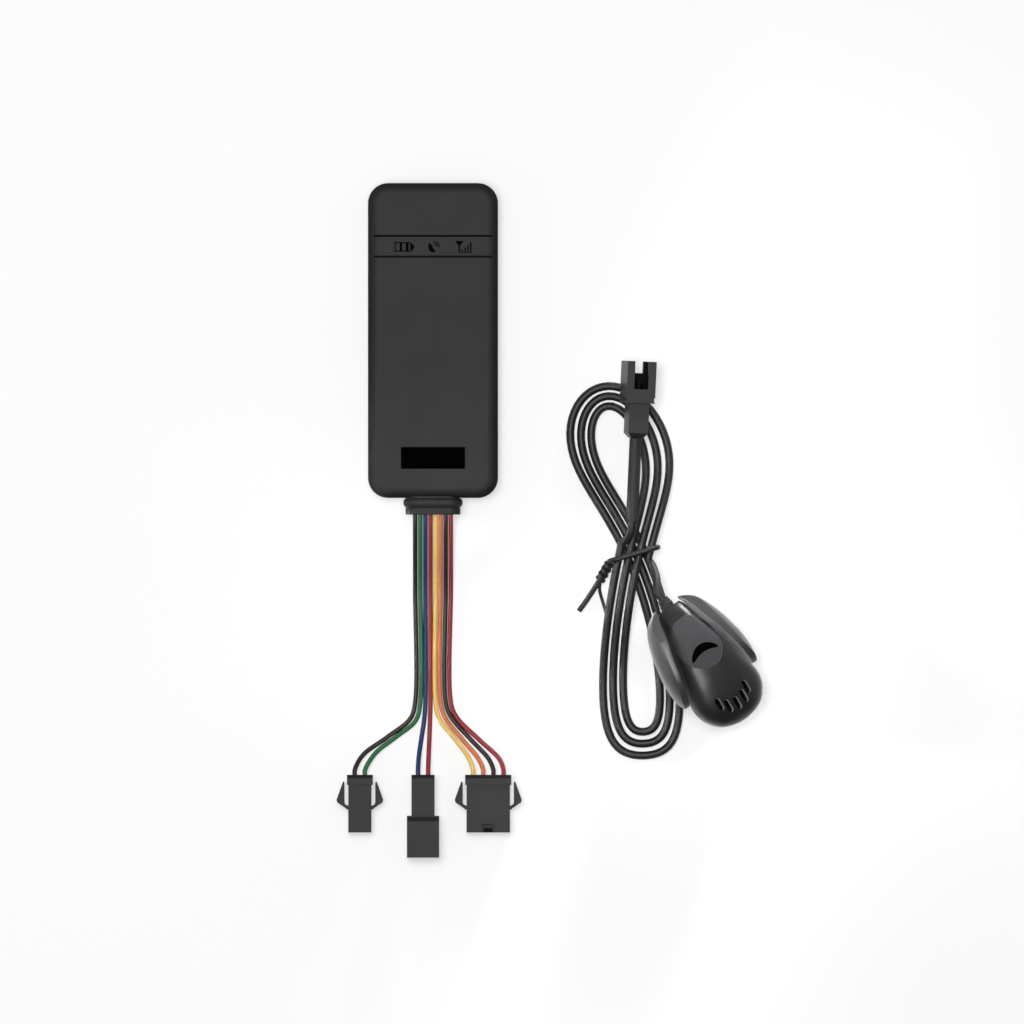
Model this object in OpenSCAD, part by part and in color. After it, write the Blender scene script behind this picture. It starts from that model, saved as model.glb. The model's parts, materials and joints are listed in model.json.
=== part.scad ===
// Vehicle tracker with a wired harness, and its plug-in microphone on a tied lead.
// The tracker lies on its back: the origin is the middle of its back face,
// +Y runs to its top end, and +Z comes out of its face. All else lies on the same plane.

/* [Housing] */
// Width of the housing
body_w = 32; // [31:0.5:36]
// Length of the housing
body_l = 77.5; // [76:0.5:90]
// Thickness of the housing
body_t = 12; // [11.8:0.1:14]
// Radius of the housing's four corners
corner_r = 5; // [4.8:0.1:6]
// Radius of the rounded edge round both faces
edge_r = 1.6; // [1:0.1:2]
// Wall thickness of both covers
wall = 1.6; // [1.4:0.05:1.8]
// Thickness of the lip that centres the front cover in the back cover
lip_t = 0.6; // [0.5:0.05:0.7]
// Depth of that lip
lip_l = 1; // [0.6:0.1:1.4]
// Clearance between pieces that slide into each other
fit_gap = 0.1; // [0.06:0.02:0.14]

/* [Face] */
// Distance of the indicator band's middle from the housing's middle
band_y = 23.2; // [21:0.2:25]
// Height of the indicator band between its grooves
band_h = 4.6; // [4:0.1:5.5]
// Width of the indicator band
band_w = 30.5; // [29:0.25:30.75]
// Width of the two grooves
groove_w = 0.5; // [0.3:0.05:0.7]
// Depth of the grooves and the band's recess
groove_d = 0.9; // [0.6:0.05:1]
// Distance between the indicator lamps
lamp_pitch = 7.2; // [6:0.1:8]
// Diameter of the light guides
guide_d = 2; // [1.5:0.1:2.5]
// Width of the blank label plate
label_w = 15.7; // [12:0.1:20]
// Height of the blank label plate
label_h = 5.3; // [4:0.1:7]
// Distance of the label plate's middle from the housing's lower end
label_edge = 9.85; // [8.8:0.05:11]
// Thickness of the label plate
label_t = 0.4; // [0.3:0.05:0.6]
// How far the label plate lies below the face
label_drop = 0.1; // [0.05:0.05:0.3]

/* [Inside the housing] */
// Height of the circuit board's underside above the back face
board_z = 4.3; // [4.1:0.05:4.4]
// Thickness of the circuit board
board_t = 1; // [0.8:0.1:1.2]
// Diameter of the screw posts
post_d = 5.2; // [5:0.05:5.3]
// Diameter of the cover screws
screw_d = 2; // [1.8:0.1:2.3]
// Diameter of the screw heads
screw_head_d = 3.6; // [3.2:0.1:4]
// Height of the screw heads
screw_head_l = 1.3; // [1:0.1:1.5]
// Length of the screws under the head
screw_l = 7; // [5.5:0.1:8]
// Side of the square satellite antenna
gnss_w = 18; // [15:0.5:20]
// Height of the satellite antenna
gnss_t = 4; // [2:0.1:4.2]
// Width of the modem's shield
shield_w = 20; // [16:0.5:22]
// Length of the modem's shield
shield_l = 18; // [15:0.5:19]
// Height of the modem's shield
shield_t = 2.4; // [1.8:0.1:3]
// Width of the backup cell
cell_w = 20; // [16:0.5:24]
// Thickness of the backup cell
cell_t = 2.4; // [2:0.1:2.5]
// Width of the card socket
card_socket_w = 14.5; // [13:0.1:15]
// Length of the card socket
card_socket_l = 15; // [14:0.1:16]
// Height of the card socket
card_socket_t = 1.4; // [1.2:0.05:1.6]
// Height of the network antenna
cell_antenna_h = 3.6; // [2.5:0.1:4.4]

/* [Cable gland] */
// Width of the gland's outer flange
gland_w = 14.6; // [13.6:0.1:16]
// Thickness of the outer flange
gland_t = 6.4; // [5.8:0.1:7.2]
// Length of the outer flange
gland_l = 2.35; // [1.8:0.05:3]
// Width of the gland's lower step
step_w = 13.5; // [12:0.1:14]
// Thickness of the lower step
step_t = 5.2; // [4.2:0.1:5.6]
// Length of the lower step
step_l = 1.75; // [1:0.05:2.5]
// Width of the neck that the covers clamp
neck_w = 12.2; // [11.6:0.1:12.8]
// Thickness of the neck
neck_t = 4.2; // [3.6:0.1:4.6]

/* [Harness] */
// Diameter of each lead
wire_d = 1.15; // [0.9:0.05:1.2]
// Distance between the leads where they lie side by side
wire_pitch = 1.25; // [1.24:0.01:1.3]
// Distance of the wired ends of the plugs from the housing's middle
plug_y = 106.9; // [105:0.1:112]
// Place of the two-way plug across the housing's middle line
plug_2way_x = -18; // [-20:0.1:-16]
// Place of the two-way receptacle
socket_2way_x = -2.45; // [-4:0.05:-1]
// Place of the four-way plug
plug_4way_x = 13.6; // [12:0.1:15]

/* [Connectors] */
// Distance between the contacts
way_pitch = 2.5; // [2.4:0.05:2.54]
// Distance from the outer contacts to the plug's side
way_edge = 1.6; // [1.5:0.05:1.8]
// Thickness of the plugs
plug_t = 5; // [4.8:0.1:5.4]
// Length of the plugs
plug_l = 14.2; // [13:0.1:16]
// Length of the collar at the plug's wired end
collar_l = 2.5; // [1.5:0.1:3]
// How far the collar stands out
collar_lip = 0.33; // [0.2:0.01:0.4]
// Width of the square contact cavities
cavity_w = 1.9; // [1.8:0.05:2]
// Width of the contacts
contact_w = 1.7; // [1.5:0.05:1.75]
// Diameter of the receptacles' pins
pin_d = 0.9; // [0.7:0.05:1]
// Length of the pins in the shroud
pin_l = 4.6; // [4:0.1:4.8]
// Clearance between a plug and its shroud, each side
plug_gap = 0.12; // [0.08:0.02:0.2]
// Wall of the shrouds
shroud_wall = 1; // [0.9:0.05:1.2]
// Length of the shrouds
shroud_l = 10.3; // [10:0.1:11]
// Thickness of the floor between a shroud and its wired end
shroud_floor = 1; // [0.8:0.05:1.2]
// Length of the wired end of the harness receptacle
rear_l = 10.1; // [9:0.1:12]
// Width of the key notch on the four-way plug
key_w = 3.2; // [2.6:0.1:4]
// Length of the key notch
key_l = 2.05; // [1.5:0.05:2.6]
// Depth of the key notch
key_d = 0.6; // [0.4:0.05:0.8]

/* [Latch arms] */
// Length of a latch arm from its tip to its hinge
latch_l = 6.4; // [6:0.1:6.6]
// How far a latch arm stands out
latch_reach = 2.9; // [2.6:0.1:3.2]
// Gap between a latch arm and the plug
latch_gap = 0.94; // [0.9:0.02:1.1]
// Width of the latch arms
latch_w = 3; // [2.6:0.1:3.2]
// Radius of the rounded root on which an arm bends
knuckle_r = 0.5; // [0.45:0.01:0.52]
// Clearance round that root
knuckle_gap = 0.05; // [0.03:0.01:0.08]

/* [Microphone] */
// Length of the pod
pod_l = 33.4; // [32:0.2:35]
// Width of the pod
pod_w = 19; // [18:0.2:20]
// Height of the pod above its middle plane
pod_top = 6; // [5.6:0.1:6.4]
// Depth of the pod below its middle plane
pod_belly = 6; // [5.4:0.1:6.2]
// Wall of the pod's shells
pod_wall = 1.5; // [1.2:0.05:1.6]
// Length of the oval panel
panel_l = 14.4; // [13:0.1:15]
// Width of the oval panel
panel_w = 11.4; // [10:0.1:11.8]
// Thickness of the oval panel
panel_t = 0.7; // [0.5:0.05:0.75]
// Width of the blank crescent in the panel
crescent_w = 7.8; // [6:0.1:8.4]
// Depth of the crescent
crescent_t = 0.3; // [0.2:0.02:0.35]
// Length of the sound slots
slot_l = 3.4; // [2.6:0.1:3.8]
// Width of the sound slots
slot_w = 1.1; // [0.8:0.05:1.2]
// Radius of the arc on which the slots lie
slot_arc_r = 4.9; // [4.6:0.05:5.2]
// Diameter of the microphone capsule
capsule_d = 6; // [5:0.1:6.4]
// Height of the microphone capsule
capsule_h = 2.7; // [2:0.1:3]
// Radius of the pivots on which the pod tilts
pivot_r = 1.2; // [1:0.05:1.3]
// Clearance round the pivots
pivot_gap = 0.05; // [0.03:0.01:0.08]

/* [Microphone bracket] */
// Length of the bracket's wings
wing_l = 24.1; // [23:0.1:25]
// Width over both wings
bracket_w = 23.4; // [23:0.1:25]
// Height of the wings above the bracket's foot
wing_h = 13.6; // [13:0.1:14]
// Height of the pod's middle plane above the bracket's foot
axis_h = 8.6; // [8.4:0.05:9]
// Thickness of the bracket's foot
foot_t = 1.5; // [1.2:0.05:1.6]
// Clearance between the pod and the wings
wing_gap = 0.5; // [0.4:0.05:0.6]
// Place of the pod's middle across the housing's middle line
mic_x = 67; // [66.8:0.1:69]
// Place of the pod's middle below the housing's middle
mic_y = -79.1; // [-80:0.1:-78.8]

/* [Microphone lead] */
// Diameter of the lead
cord_d = 2; // [1.8:0.05:2.05]
// Number of turns in the hank
hank_turns = 3;
// Outer diameter of the shrunk sleeve
sleeve_d = 3; // [2.6:0.1:3.2]
// Length of the shrunk sleeve
sleeve_l = 20.8; // [18:0.1:21]
// Length of the wired end of the microphone receptacle
mic_rear_l = 7.4; // [7:0.1:8]
// Length of the strain relief at the pod
boot_l = 2.6; // [2.4:0.1:3]
// Diameter of the tie's wire
tie_d = 1.3; // [1:0.05:1.35]

/* [Hidden] */

$fn = 32;
// Overrun of every cut
over = 1;
// Small step that closes or parts two faces
hair = 0.02;

// Housing
split_z = body_t / 2;
inner_w = body_w - 2 * wall;
inner_l = body_l - 2 * wall;
inner_r = corner_r - wall;
ceiling_z = body_t - wall;
label_y = body_l / 2 - label_edge;
post_x = body_w / 2 - corner_r;
post_y = body_l / 2 - corner_r;
board_inset = 2 * fit_gap + lip_t;
board_top = board_z + board_t;
board_low_y = -post_y - screw_d;
gland_y = body_l / 2;
card_y = post_y - screw_d - card_socket_l;
cell_low_y = -post_y + post_d / 2 + lip_l;
cell_high_y = card_y - 2 * cell_t;
cell_l = cell_high_y - cell_low_y;
cell_antenna_w = 2 * (post_x - post_d / 2 - lip_l);
header_y = -post_y + guide_d;
header_l = 2 * guide_d;
shield_y = header_y + header_l + lip_l;
head_sink = (screw_head_l + board_z - wall) / 2;
pilot_gap = fit_gap / 5;
lamp_t = 0.6;
lamp_l = 1.6;
lamp_w = 0.8;

// Harness
wire_count = 8;
wire_z = split_z;
wire_start_y = -gland_y - gland_l - step_l;
wire_table_z = 0.6;
function wire_x(i) = (i - (wire_count - 1) / 2) * wire_pitch;
collar_t = plug_t + 2 * collar_lip;
plug_z = collar_t / 2;
shroud_t = plug_t + 2 * (plug_gap + shroud_wall);
socket_z = shroud_t / 2;
function plug_w(ways) = (ways - 1) * way_pitch + 2 * way_edge;
function way_x(i, ways) = (i - (ways - 1) / 2) * way_pitch;
// Bends of each lead between the straight run and its plug, by hand
bends_black_1 = [[-5.6, -93.1, 0.6], [-11.2, -97.6, 0.8], [-17.3, -102.1, 1.7]];
bends_green = [[-4.3, -93.6, 0.6], [-9, -97.5, 0.8], [-14.1, -101.5, 1.5]];
bends_blue = [[-2.2, -93.5, 0.6], [-2.9, -98.2, 0.8], [-3.5, -102.6, 2.3]];
bends_red_1 = [[-0.75, -93.5, 0.6], [-0.9, -98.2, 0.8], [-1.1, -102.6, 2.3]];
bends_yellow = [[1.6, -93.2, 0.6], [5.1, -97.7, 0.8], [8.7, -102.6, 1.9]];
bends_orange = [[3.1, -93, 0.6], [7.4, -98.4, 0.8], [11.2, -103, 1.9]];
bends_black_2 = [[4.4, -92.6, 0.6], [9.2, -98.1, 0.8], [13.7, -103, 1.9]];
bends_red_2 = [[5.8, -92.7, 0.6], [11.4, -98.3, 0.8], [16.3, -103, 1.9]];
// Fall of the leads from the gland to the table: distance from the middle, and height
wire_fall = [[-45, 6], [-54, 3.2], [-62, 0.8], [-89, 0.6]];

// Microphone: the pod's own frame has X from its head to its tail and Z out of its top
mic_turn = -55.7;
mic_roll = 12;
pod_head_x = -16.2;
pod_tail_x = pod_head_x + pod_l;
wing_head_x = pod_head_x - 1;
foot_half_share = 0.59;
axis_z = bracket_w / 2 * foot_half_share * sin(mic_roll) + axis_h * cos(mic_roll);
pivot_x = -3;
pivot_drop = 1.5;
tilt_most = 18;
// Shares of the pod's length, half width, height and depth
pod_shares = [
  [0, 0.24, 0.35, 0.35], [0.03, 0.34, 0.45, 0.45], [0.1, 0.41, 0.62, 0.6],
  [0.2, 0.49, 0.8, 0.78], [0.3, 0.61, 0.92, 0.9], [0.4, 0.72, 0.98, 0.97],
  [0.5, 0.81, 1, 1], [0.6, 0.9, 1, 1], [0.68, 0.97, 0.975, 0.97],
  [0.76, 1, 0.92, 0.9], [0.835, 0.95, 0.83, 0.8], [0.9, 0.82, 0.7, 0.68],
  [0.95, 0.64, 0.53, 0.52], [0.985, 0.38, 0.32, 0.32], [1, 0.12, 0.12, 0.12]
];
pod_width_shares = [for (row = pod_shares) [row[0], row[1]]];
pod_roundness = 2.7;
// Shares of the wings' length and half width, at the outside
wing_shares = [
  [-0.02, 0.24], [0.02, 0.38], [0.1, 0.6], [0.23, 0.75], [0.41, 0.88], [0.52, 0.93],
  [0.66, 0.985], [0.8, 1], [0.92, 0.98], [1, 0.93], [1.06, 0.88]
];
// Side outline of the bracket, shares of the wings' length and height
wing_side_shares = [
  [0, 0.66], [0.03, 0.78], [0.13, 0.89], [0.34, 0.98], [0.59, 1], [0.8, 0.94], [0.93, 0.82],
  [1, 0.66], [0.965, 0.53], [0.89, 0.4], [0.84, 0.19], [0.82, 0], [0.36, 0], [0.33, 0.19],
  [0.24, 0.39], [0.11, 0.51], [0.03, 0.57]
];
wing_up = 7.2;
room_boxy = 3;
wing_round = 2.4;
wing_down_share = 1.15;
// Oval panel
panel_x = -5.2;
// Sound slots
slot_centre_x = 7.9;
slot_angles = [-56, -28, 0, 28, 56];

// Microphone lead
hank_rings = 24;
hank_sides = 6;
lead_sides = 8;
waist_x = 49.7;
waist_y = -52;
// Distance between neighbouring strands
hank_pitch = 2.47;
// Upper and lower lobe of the middle turn: height, half width and growth a turn
upper_h = 37.7;
upper_h_step = 2.46;
upper_w = 8.7;
upper_w_step = 1.45;
lower_h = 46.5;
lower_h_step = -2.93;
lower_w = 5.9;
lower_w_step = -1.02;
// How far the upper lobe leans to the tracker
hank_lean = 8.6;
upper_round_share = -0.33;
lower_round_share = 0.35;
// Heights of the strands on the table and where they cross
table_z = cord_d / 2;
under_z = tie_d + table_z + hair * 5;
over_z = under_z + hank_pitch;
rise_start_share = 0.62;
rise_steep = 1.6;
// Receptacle of the microphone lead
mic_socket_x = 49.95;
mic_socket_y = -22.8;
mic_socket_z = 7.4;
mic_socket_lean = 2.6;
mic_socket_roll = -78;
taper_l = 1.2;

function unit(v) = v / norm(v);
function sign_power(v, e) = sign(v) * pow(abs(v), e);
function blend01(v) = let (w = min(1, max(0, v))) w * w * (3 - 2 * w);

// Point of the hank after so many turns, counted from the waist
function hank_point(turn) =
  let (
    p = 360 * turn,
    s = sin(p),
    up = (1 - s) / 2,
    t = turn - hank_turns / 2,
    h = (lower_h + lower_h_step * t) * (1 - up) + (upper_h + upper_h_step * t) * up,
    w = (lower_w + lower_w_step * t) * (1 - up) + (upper_w + upper_w_step * t) * up,
    round = lower_round_share * pow(1 - up, 2) + upper_round_share * pow(up, 2),
    lift = blend01(rise_steep * (1 - abs(s) / rise_start_share)),
    top = cos(p) > 0 ? over_z : under_z
  ) [
    waist_x - hank_lean * (up * up - 1 / 4) - w * sin(2 * p) + hank_pitch * t * cos(p),
    waist_y - h * s * (1 + round - round * s * s),
    table_z + (top - table_z) * lift
  ];

hank_route = [for (i = [0:hank_turns * hank_rings]) hank_point(i / hank_rings)];
hank_last = len(hank_route) - 1;
hank_in = unit(hank_route[1] - hank_route[0]);
hank_out = unit(hank_route[hank_last] - hank_route[hank_last - 1]);

// Least gap between strands that are at least a fifth of a turn apart
gap_steps = 48;
gap_points = [for (i = [0:hank_turns * gap_steps]) hank_point(i / gap_steps)];
gap_last = len(gap_points) - 1;
hank_gap = min([
  for (i = [0:gap_last])
    for (j = [i + gap_steps / 4:gap_last]) norm(gap_points[i] - gap_points[j])
]) - cord_d;
hank_length = norm_sum(gap_points);
function norm_sum(points, i = 1) =
  i >= len(points) ? 0 : norm(points[i] - points[i - 1]) + norm_sum(points, i + 1);
echo(hank_gap = hank_gap, hank_length = hank_length);

// Straight line of the receptacle and the sleeve
socket_dir = [-sin(mic_socket_lean), -cos(mic_socket_lean), 0];
lead_exit = [mic_socket_x, mic_socket_y, mic_socket_z] + socket_dir * taper_l;
sleeve_end = lead_exit + socket_dir * sleeve_l;
lead_start_bends = [[48.8, -46.6, 7.3], [48.2, -48.2, 6.7], [47.1, -49.5, 5.5]];
lead_start_route = concat(
  [lead_exit, sleeve_end],
  lead_start_bends,
  [hank_route[0] - hank_in * cord_d, hank_route[0]]
);
boot_tip_x = pod_head_x - boot_l;
boot_neck_l = 2;
core_l = 7;
pod_dir = [cos(mic_turn), sin(mic_turn), 0];
lead_end_stop = [mic_x, mic_y, axis_z] + pod_dir * boot_tip_x;
lead_end_bends = [[53.9, -55.3, 5.5], [55, -58.6, 8]];
lead_end_route = concat(
  [hank_route[hank_last], hank_route[hank_last] + hank_out * cord_d],
  lead_end_bends,
  [lead_end_stop - pod_dir * cord_d, lead_end_stop]
);

// Wire tie
tie_turn = 16;
tie_half_w = 6.2;
tie_x = waist_x - 0.3;
tie_y = waist_y - 0.6;
tie_low = tie_d / 2;
tie_high = over_z + cord_d / 2 + tie_d / 2 + fit_gap * 2;
tie_steps = 20;
tie_sides = 6;
tie_boxy = 4;
twist_r = 0.68;
twist_from = [43.4, -55, 3.2];
twist_to = [41.2, -58.8, 2.1];
twist_turns = 1.5;
twist_steps = 12;
tail_long = [[41.4, -58.4, 2.2], [40, -60.6, 1.6], [37.9, -63.8, 0.9], [35.9, -66.6, 0.7]];
tail_short = [[41.3, -58.5, 1.9], [41, -61.3, 1.1], [41.8, -64.4, 0.6], [42.7, -67.4, 0.5]];
tail_short_d = 0.8;

// Rounded rectangle with its middle at the origin
module rounded_plate(w, l, t, r) {
  linear_extrude(t) {
    square([w - 2 * r, l], center = true);
    square([w, l - 2 * r], center = true);
    for (x = [-1, 1]) for (y = [-1, 1])
      translate([x * (w / 2 - r), y * (l / 2 - r)]) circle(r);
  }
}

// Flat bar with round ends along X, standing along Y from the origin
module round_bar(w, t, l) {
  rotate([90, 0, 0]) linear_extrude(l) {
    square([w - t, t], center = true);
    for (x = [-1, 1]) translate([x * (w - t) / 2, 0]) circle(t / 2);
  }
}

// Tube swept along a route of points
module tube(route, d, sides) {
  n = len(route);
  points = [
    for (i = [0:n - 1])
      let (
        dir = unit(route[min(i + 1, n - 1)] - route[max(i - 1, 0)]),
        side = unit(cross(dir, [0, 0, 1])),
        up = cross(side, dir)
      )
      for (k = [0:sides - 1])
        let (a = (k + 1 / 2) * 360 / sides)
        route[i] + d / 2 * (cos(a) * side + sin(a) * up)
  ];
  skin(points, n, sides);
}

// Closed tube round a loop of points that stands upright
module ring_tube(route, d, sides, normal) {
  n = len(route);
  points = [
    for (i = [0:n - 1])
      let (
        dir = unit(route[(i + 1) % n] - route[(i + n - 1) % n]),
        up = cross(normal, dir)
      )
      for (k = [0:sides - 1])
        let (a = (k + 1 / 2) * 360 / sides)
        route[i] + d / 2 * (cos(a) * normal + sin(a) * up)
  ];
  faces = [
    for (i = [0:n - 1]) for (k = [0:sides - 1])
      let (
        a = i * sides + k,
        b = i * sides + (k + 1) % sides,
        c = (i + 1) % n * sides + (k + 1) % sides,
        e = (i + 1) % n * sides + k
      )
      each [[a, b, c], [a, c, e]]
  ];
  polyhedron(points, faces);
}

// Closed skin over rings of points, each ring with the same count
module skin(points, rings, sides) {
  last = (rings - 1) * sides;
  faces = concat(
    [for (k = [1:sides - 2]) [0, k + 1, k]],
    [
      for (i = [0:rings - 2]) for (k = [0:sides - 1])
        let (
          a = i * sides + k,
          b = i * sides + (k + 1) % sides,
          c = a + sides,
          e = b + sides
        )
        each [[a, b, e], [a, e, c]]
    ],
    [for (k = [1:sides - 2]) [last, last + k, last + k + 1]]
  );
  polyhedron(points, faces);
}

// Outer form of the closed housing
module body_form() {
  puck_r = corner_r - edge_r;
  hull() for (x = [-1, 1]) for (y = [-1, 1])
    translate([x * (body_w / 2 - corner_r), y * (body_l / 2 - corner_r), 0])
      rotate_extrude($fn = 40) {
        square([puck_r, body_t]);
        translate([puck_r, edge_r]) square([edge_r, body_t - 2 * edge_r]);
        intersection() {
          for (z = [edge_r, body_t - edge_r]) translate([puck_r, z]) circle(edge_r, $fn = 24);
          square([corner_r, body_t]);
        }
      }
}

module at_posts() {
  for (x = [-1, 1]) for (y = [-1, 1]) translate([x * post_x, y * post_y, 0]) children();
}

module at_lamps() {
  for (i = [-1:1]) translate([i * lamp_pitch, band_y, 0]) children();
}

// Space that the gland's neck takes in the covers' end wall
module gland_cut() {
  translate([0, -inner_l / 2 + over, wire_z])
    round_bar(neck_w + fit_gap, neck_t + fit_gap, wall + 2 * over);
}

// Recess under the indicator band, with room for its grooves
module band_recess(extra_w, extra_h) {
  translate([-(band_w + extra_w) / 2, band_y - (band_h + extra_h) / 2, body_t - groove_d])
    cube([band_w + extra_w, band_h + extra_h, groove_d + over]);
}

module front_cover() {
  color([0.23, 0.23, 0.24]) {
    difference() {
      intersection() {
        body_form();
        translate([-body_w, -body_l, split_z]) cube([2 * body_w, 2 * body_l, body_t]);
      }
      difference() {
        translate([0, 0, split_z - over])
          rounded_plate(inner_w, inner_l, ceiling_z - split_z + over, inner_r);
        at_posts() cylinder(d = post_d, h = body_t);
      }
      at_posts() cylinder(d = screw_d + pilot_gap, h = head_sink + screw_l + pilot_gap);
      band_recess(fit_gap, 2 * groove_w);
      translate([-label_w / 2 - fit_gap, -label_y - label_h / 2 - fit_gap, body_t - label_t - label_drop])
        cube([label_w + 2 * fit_gap, label_h + 2 * fit_gap, body_t]);
      at_lamps() cylinder(d = guide_d + fit_gap, h = body_t);
      gland_cut();
    }
    difference() {
      at_posts() translate([0, 0, board_top]) cylinder(d = post_d, h = split_z - board_top + hair);
      at_posts() cylinder(d = screw_d + pilot_gap, h = body_t);
    }
    front_lip();
  }
}

// Lip that centres the front cover inside the back cover's wall, on a ledge of the front cover
module front_lip() {
  difference() {
    union() {
      translate([0, 0, split_z - lip_l])
        rounded_plate(inner_w - 2 * fit_gap, inner_l - 2 * fit_gap, lip_l + lip_t, inner_r - fit_gap);
      translate([0, 0, split_z]) rounded_plate(inner_w + hair, inner_l + hair, lip_t, inner_r + hair / 2);
    }
    translate([0, 0, split_z - lip_l - over])
      rounded_plate(
        inner_w - 2 * (fit_gap + lip_t), inner_l - 2 * (fit_gap + lip_t),
        lip_l + lip_t + 2 * over, inner_r - fit_gap - lip_t
      );
    translate([-gland_w / 2, -body_l / 2, 0]) cube([gland_w, corner_r, body_t]);
  }
}

module back_cover() {
  color([0.2, 0.2, 0.21]) difference() {
    intersection() {
      body_form();
      translate([-body_w, -body_l, 0]) cube([2 * body_w, 2 * body_l, split_z]);
    }
    difference() {
      translate([0, 0, wall]) rounded_plate(inner_w, inner_l, body_t, inner_r);
      at_posts() cylinder(d = post_d, h = board_z);
    }
    at_posts() {
      translate([0, 0, -over]) cylinder(d = screw_head_d + 2 * fit_gap, h = head_sink + over);
      cylinder(d = screw_d + fit_gap, h = body_t);
    }
    gland_cut();
  }
}

module cover_screws() {
  color([0.35, 0.35, 0.37]) at_posts() {
    translate([0, 0, head_sink - screw_head_l]) cylinder(d = screw_head_d, h = screw_head_l);
    translate([0, 0, head_sink - hair]) cylinder(d = screw_d, h = screw_l);
  }
}

module indicator_strip() {
  color([0.24, 0.24, 0.25]) intersection() {
    body_form();
    band_recess(0, 0);
  }
}

module label_inlay() {
  color([0.02, 0.02, 0.02])
    translate([-label_w / 2, -label_y - label_h / 2, body_t - label_t - label_drop])
      cube([label_w, label_h, label_t]);
}

module light_pipes() {
  guide_z = board_top + lamp_t + fit_gap;
  color([0.85, 0.88, 0.9]) at_lamps()
    translate([0, 0, guide_z]) cylinder(d = guide_d, h = body_t - groove_d - guide_z);
}

module status_leds() {
  color([0.9, 0.9, 0.75]) at_lamps()
    translate([-lamp_l / 2, -lamp_w / 2, board_top]) cube([lamp_l, lamp_w, lamp_t]);
}

module circuit_board() {
  board_w = inner_w - 2 * board_inset;
  board_high_y = inner_l / 2 - board_inset;
  color([0.05, 0.3, 0.14]) difference() {
    translate([0, (board_high_y + board_low_y) / 2, board_z])
      rounded_plate(board_w, board_high_y - board_low_y, board_t, screw_d);
    at_posts() cylinder(d = screw_d + 2 * fit_gap, h = body_t);
  }
}

module gnss_antenna() {
  gnss_y = band_y - band_h / 2 - groove_w - gnss_w;
  plate_w = gnss_w - gnss_t / 2;
  feed_d = guide_d / 2;
  color([0.8, 0.74, 0.6]) difference() {
    translate([0, gnss_y + gnss_w / 2, board_top]) {
      translate([-gnss_w / 2, -gnss_w / 2, 0]) cube([gnss_w, gnss_w, gnss_t - lamp_t / 2]);
      translate([-plate_w / 2, -plate_w / 2, 0]) cube([plate_w, plate_w, gnss_t]);
    }
    translate([0, gnss_y + gnss_w / 2, board_top + gnss_t - lamp_t])
      cylinder(d = feed_d, h = gnss_t);
  }
}

module cellular_antenna() {
  foil_t = lamp_t / 2;
  antenna_y = inner_l / 2 - board_inset - lamp_l;
  color([0.8, 0.7, 0.4]) translate([-cell_antenna_w / 2, 0, board_top]) {
    translate([0, antenna_y - cell_antenna_h, 0]) cube([cell_antenna_w, cell_antenna_h, foil_t]);
    translate([0, antenna_y - foil_t, 0]) cube([cell_antenna_w, foil_t, cell_antenna_h]);
  }
}

module modem_shield() {
  foil_t = lamp_t / 2;
  color([0.75, 0.76, 0.78]) translate([-shield_w / 2, shield_y, board_top])
    difference() {
      cube([shield_w, shield_l, shield_t]);
      translate([foil_t, foil_t, -over])
        cube([shield_w - 2 * foil_t, shield_l - 2 * foil_t, shield_t - foil_t + over]);
    }
}

module battery_cell() {
  color([0.72, 0.73, 0.76]) translate([0, (cell_low_y + cell_high_y) / 2, wall])
    rounded_plate(cell_w, cell_l, cell_t, cell_t / 2);
}

module battery_lead() {
  lead_d = cell_t / 2;
  lead_z = wall + cell_t / 2;
  color([0.7, 0.1, 0.08]) for (x = [-lead_d, lead_d]) {
    translate([x, cell_high_y + cell_t, lead_z]) rotate([90, 0, 0]) cylinder(d = lead_d, h = cell_t);
    translate([x, cell_high_y + cell_t, lead_z]) sphere(d = lead_d);
    translate([x, cell_high_y + cell_t, lead_z]) cylinder(d = lead_d, h = board_z - lead_z);
  }
}

// Place of the card socket under the board
module at_card_socket() {
  translate([-card_socket_w / 2, card_y, board_z - card_socket_t])
    children();
}

module sim_socket() {
  side = lamp_w;
  color([0.7, 0.71, 0.72]) at_card_socket() difference() {
    cube([card_socket_w, card_socket_l, card_socket_t]);
    translate([side, side, card_socket_t / 4])
      cube([card_socket_w - 2 * side, card_socket_l, card_socket_t / 2 + fit_gap]);
  }
}

module sim_card() {
  side = lamp_w + fit_gap;
  color([0.93, 0.93, 0.9]) at_card_socket() translate([side, side, card_socket_t / 4])
    cube([card_socket_w - 2 * side, card_socket_l - 2 * side, card_socket_t / 2]);
}

module harness_header() {
  header_w = wire_count * wire_pitch + 2 * guide_d;
  color([0.9, 0.88, 0.8])
    translate([-header_w / 2, header_y, board_top]) cube([header_w, header_l, shield_t + lip_l]);
}

module inner_leads() {
  lead_from = header_y;
  color([0.3, 0.3, 0.3]) for (i = [0:wire_count - 1])
    translate([wire_x(i), lead_from, wire_z]) rotate([90, 0, 0])
      cylinder(d = wire_d, h = lead_from - wire_start_y);
}

// Disc with a rounded rim, lying across Y, drawn from y = 0 downwards
module gland_disc(d, l) {
  rotate([90, 0, 0]) rotate_extrude($fn = 28) {
    square([d / 2 - l / 2, l]);
    intersection() {
      translate([d / 2 - l / 2, l / 2]) circle(l / 2, $fn = 16);
      square([d / 2, l]);
    }
  }
}

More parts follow.
